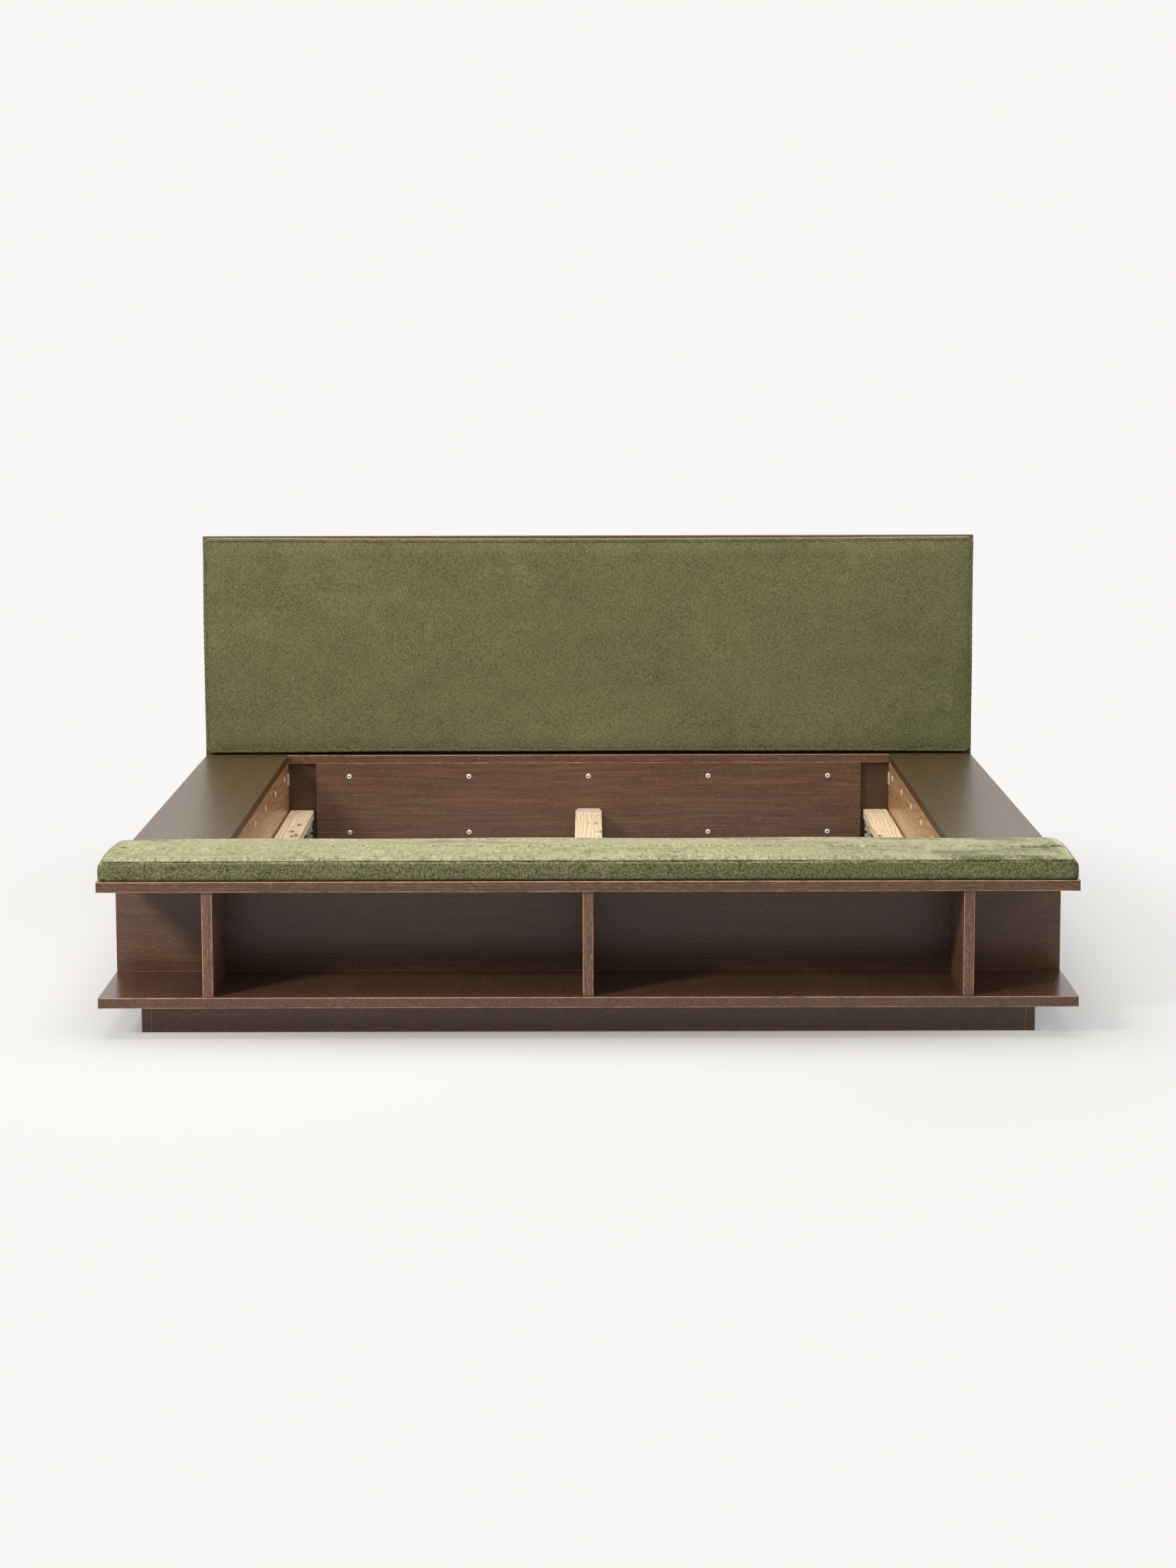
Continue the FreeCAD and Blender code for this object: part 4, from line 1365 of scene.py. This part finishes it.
def add_object(name: str, data: bpy.types.ID) -> Thing:
    """Puts a new object into the scene."""
    thing = bpy.data.objects.new(name, data)
    bpy.context.scene.collection.objects.link(thing)
    return thing


def select_nothing() -> None:
    """Leaves no object selected."""
    bpy.ops.object.select_all(action="DESELECT")


def select_only(*things: Thing) -> None:
    """Selects some objects and makes the first the active one."""
    select_nothing()
    for thing in things:
        thing.select_set(True)
    bpy.context.view_layer.objects.active = things[0]


def apply_modifier(thing: Thing, modifier: bpy.types.Modifier) -> None:
    """Applies a modifier to its object."""
    select_only(thing)
    bpy.ops.object.modifier_apply(modifier=modifier.name)


def read_points(thing: Thing, kind: str = "co") -> np.ndarray:
    """Gives the points of a mesh, or their normals, one row each."""
    flat = np.empty(len(thing.data.vertices) * 3, np.float32)
    thing.data.vertices.foreach_get(kind, flat)
    return flat.reshape(-1, 3).astype(float)


def write_points(thing: Thing, spots: np.ndarray) -> None:
    """Moves the points of a mesh."""
    thing.data.vertices.foreach_set("co", spots.astype(np.float32).ravel())
    thing.data.update()


def write_painted_shade(thing: Thing, shades: np.ndarray) -> None:
    """Keeps the painted shade of the fabric at each point of a mesh."""
    seam = thing.data.attributes.new("seam", "FLOAT", "POINT")
    seam.data.foreach_set("value", shades.astype(np.float32))


@dataclass(frozen=True)
class Softbox:
    """One studio lamp."""

    name: str
    place: tuple[float, float, float]
    aim: tuple[float, float, float]
    size: float
    watts: float
    colour: Colour = (1.0, 0.985, 0.965)

    def build(self) -> None:
        """Hangs the lamp and turns it to its aim."""
        lamp = bpy.data.lights.new(self.name, "AREA")
        lamp.shape = "SQUARE"
        lamp.size = self.size
        lamp.energy = self.watts
        lamp.color = self.colour
        thing = add_object(self.name, lamp)
        thing.location = self.place
        direction = Vector(self.aim) - Vector(self.place)
        thing.rotation_euler = direction.to_track_quat("-Z", "Y").to_euler()


@dataclass
class Studio:
    """A white sweep with an overhead light, a key from the front left and a weak fill."""

    backdrop: Colour = field(default_factory=lambda: linear(250, 248, 246))
    ambient: float = 0.23
    dark_side: float = 0.3
    dark_span: tuple[float, float] = (-0.25, 0.3)
    floor_size: float = 60.0
    floor_tint: Colour = (0.62, 0.62 * 0.995, 0.62 * 0.985)
    floor_stretch: tuple[float, float, float] = (1.35, 0.9, 1.0)
    fade: tuple[float, float, float] = (1.0, 3.2, 0.16)
    lamps: tuple[Softbox, ...] = (
        Softbox("overhead", (-0.3, -0.2, 4.2), (0.0, 0.0, 0.3), 4.5, 240),
        Softbox("key", (-4.6, -5.7, 4.0), (0.0, -0.6, 0.3), 1.2, 390),
        Softbox("fill", (4.9, -5.4, 3.6), (0.0, -0.6, 0.3), 1.6, 66),
    )

    def light(self) -> None:
        """Hangs the lamps and lights the world."""
        for lamp in self.lamps:
            lamp.build()
        world = bpy.data.worlds.new("studio")
        bpy.context.scene.world = world
        world.use_nodes = True
        w = Wiring(world.node_tree)
        path = w.add("ShaderNodeLightPath").outputs
        seen = w.math("MAXIMUM", path["Is Camera Ray"], path["Is Glossy Ray"])
        seen = w.math("MAXIMUM", seen, path["Is Transmission Ray"])
        dim = w.add("ShaderNodeBackground", {"Color": self.backdrop,
                                             "Strength": self.ambient})
        ahead = w.axes(w.add("ShaderNodeTexCoord").outputs["Generated"])[1]
        shine = w.step(ahead, *self.dark_span, self.dark_side, 1.0)
        shine = w.math("MAXIMUM", shine, path["Is Camera Ray"])
        white = w.add("ShaderNodeBackground", {"Color": self.backdrop, "Strength": shine})
        mixed = w.add("ShaderNodeMixShader", {0: seen, 1: dim.outputs[0],
                                              2: white.outputs[0]})
        w.add("ShaderNodeOutputWorld", {"Surface": mixed.outputs[0]})

    def lay_floor(self) -> None:
        """Lays the floor, which fades into the backdrop away from the bed."""
        select_nothing()
        bpy.ops.mesh.primitive_plane_add(size=self.floor_size)
        floor = bpy.context.active_object
        floor.name = "studio_floor"
        material, w, place = start_material("studio_paper")
        oval = w.vector("MULTIPLY", place, self.floor_stretch)
        far = w.add("ShaderNodeVectorMath", {0: oval}, operation="LENGTH").outputs["Value"]
        path = w.add("ShaderNodeLightPath").outputs
        seen = w.math("MAXIMUM", path["Is Camera Ray"], path["Is Glossy Ray"])
        share = w.times(seen, w.step(far, *self.fade, 1.0))
        paper = w.add("ShaderNodeBsdfDiffuse", {"Color": self.floor_tint})
        glow = w.add("ShaderNodeEmission", {"Color": self.backdrop, "Strength": 1.0})
        mixed = w.add("ShaderNodeMixShader", {0: share, 1: paper.outputs[0],
                                              2: glow.outputs[0]})
        w.add("ShaderNodeOutputMaterial", {"Surface": mixed.outputs[0]})
        floor.data.materials.append(material)


@dataclass(frozen=True)
class Viewpoint:
    """The camera of the photograph, fitted to points whose sizes are known."""

    place: tuple[float, float, float] = (0.0079, -9.3093, 1.6828)
    pitch_down: float = 0.1327
    yaw: float = 0.0009
    roll: float = -0.0024
    focal_pixels: float = 4945.2238
    image_height: float = 2212.0
    sensor: float = 36.0
    clip_end: float = 200.0

    def build(self) -> None:
        """Sets up the camera."""
        camera = bpy.data.cameras.new("photo_camera")
        camera.sensor_width = self.sensor
        camera.lens = self.focal_pixels * self.sensor / self.image_height
        camera.clip_end = self.clip_end
        thing = add_object("photo_camera", camera)
        turn = Matrix.Rotation(self.yaw, 4, "Z")
        turn @= Matrix.Rotation(math.pi / 2 - self.pitch_down, 4, "X")
        turn @= Matrix.Rotation(self.roll, 4, "Z")
        thing.matrix_world = Matrix.Translation(self.place) @ turn
        bpy.context.scene.camera = thing


def main() -> None:
    """Builds the scene in order."""
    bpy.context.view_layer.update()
    bpy.context.scene.view_settings.view_transform = "Standard"
    Viewpoint().build()
    studio = Studio()
    studio.light()
    studio.lay_floor()
    shop = Workshop()
    Carcass(shop).dress()
    MattressSupport(shop).dress()
    Fasteners(shop).dress()
    PlateScrews(shop).build()
    fabric = FabricFinish().material(shop)
    seat = BenchCushion("bench_cushion", Body.BENCH_CUSHION, rest_axis=2, rest_side=-1,
                        seam_depth=46.5 * MM, side=53 * MM,
                        outgrow=(4.5 * MM, 2.5 * MM, 0.5 * MM), round_edge=4 * MM,
                        rest_edge=12 * MM, rounding=(9 * MM, 26 * MM))
    cover = seat.build()
    seat.dress(cover, fabric)
    seat.welt(cover, fabric)
    panel = HeadboardCushion("headboard_cushion", Body.FRAME, rest_axis=1, rest_side=1,
                             seam_depth=10 * MM, side=35 * MM, outgrow=(4 * MM, 0.0, 0.0),
                             ridge_half=0.0, groove=1.3 * MM,
                             rounding=(20 * MM, 20 * MM), shade=0.5)
    # The headboard's copy of the chenille is painted a little darker than the bench's as painted
    # shade, and its painted top light is weaker.
    upright = FabricFinish("olive_chenille_panel_painted_shade", tuft=(0.225, 0.217, 0.104),
                           ground=(0.037, 0.035, 0.0125), contrast=2.5, nap=0.0,
                           lifted=(1.1, 1.1, 1.1))
    panel.dress(panel.build(), upright.material(shop))


if __name__ == "__main__":
    main()
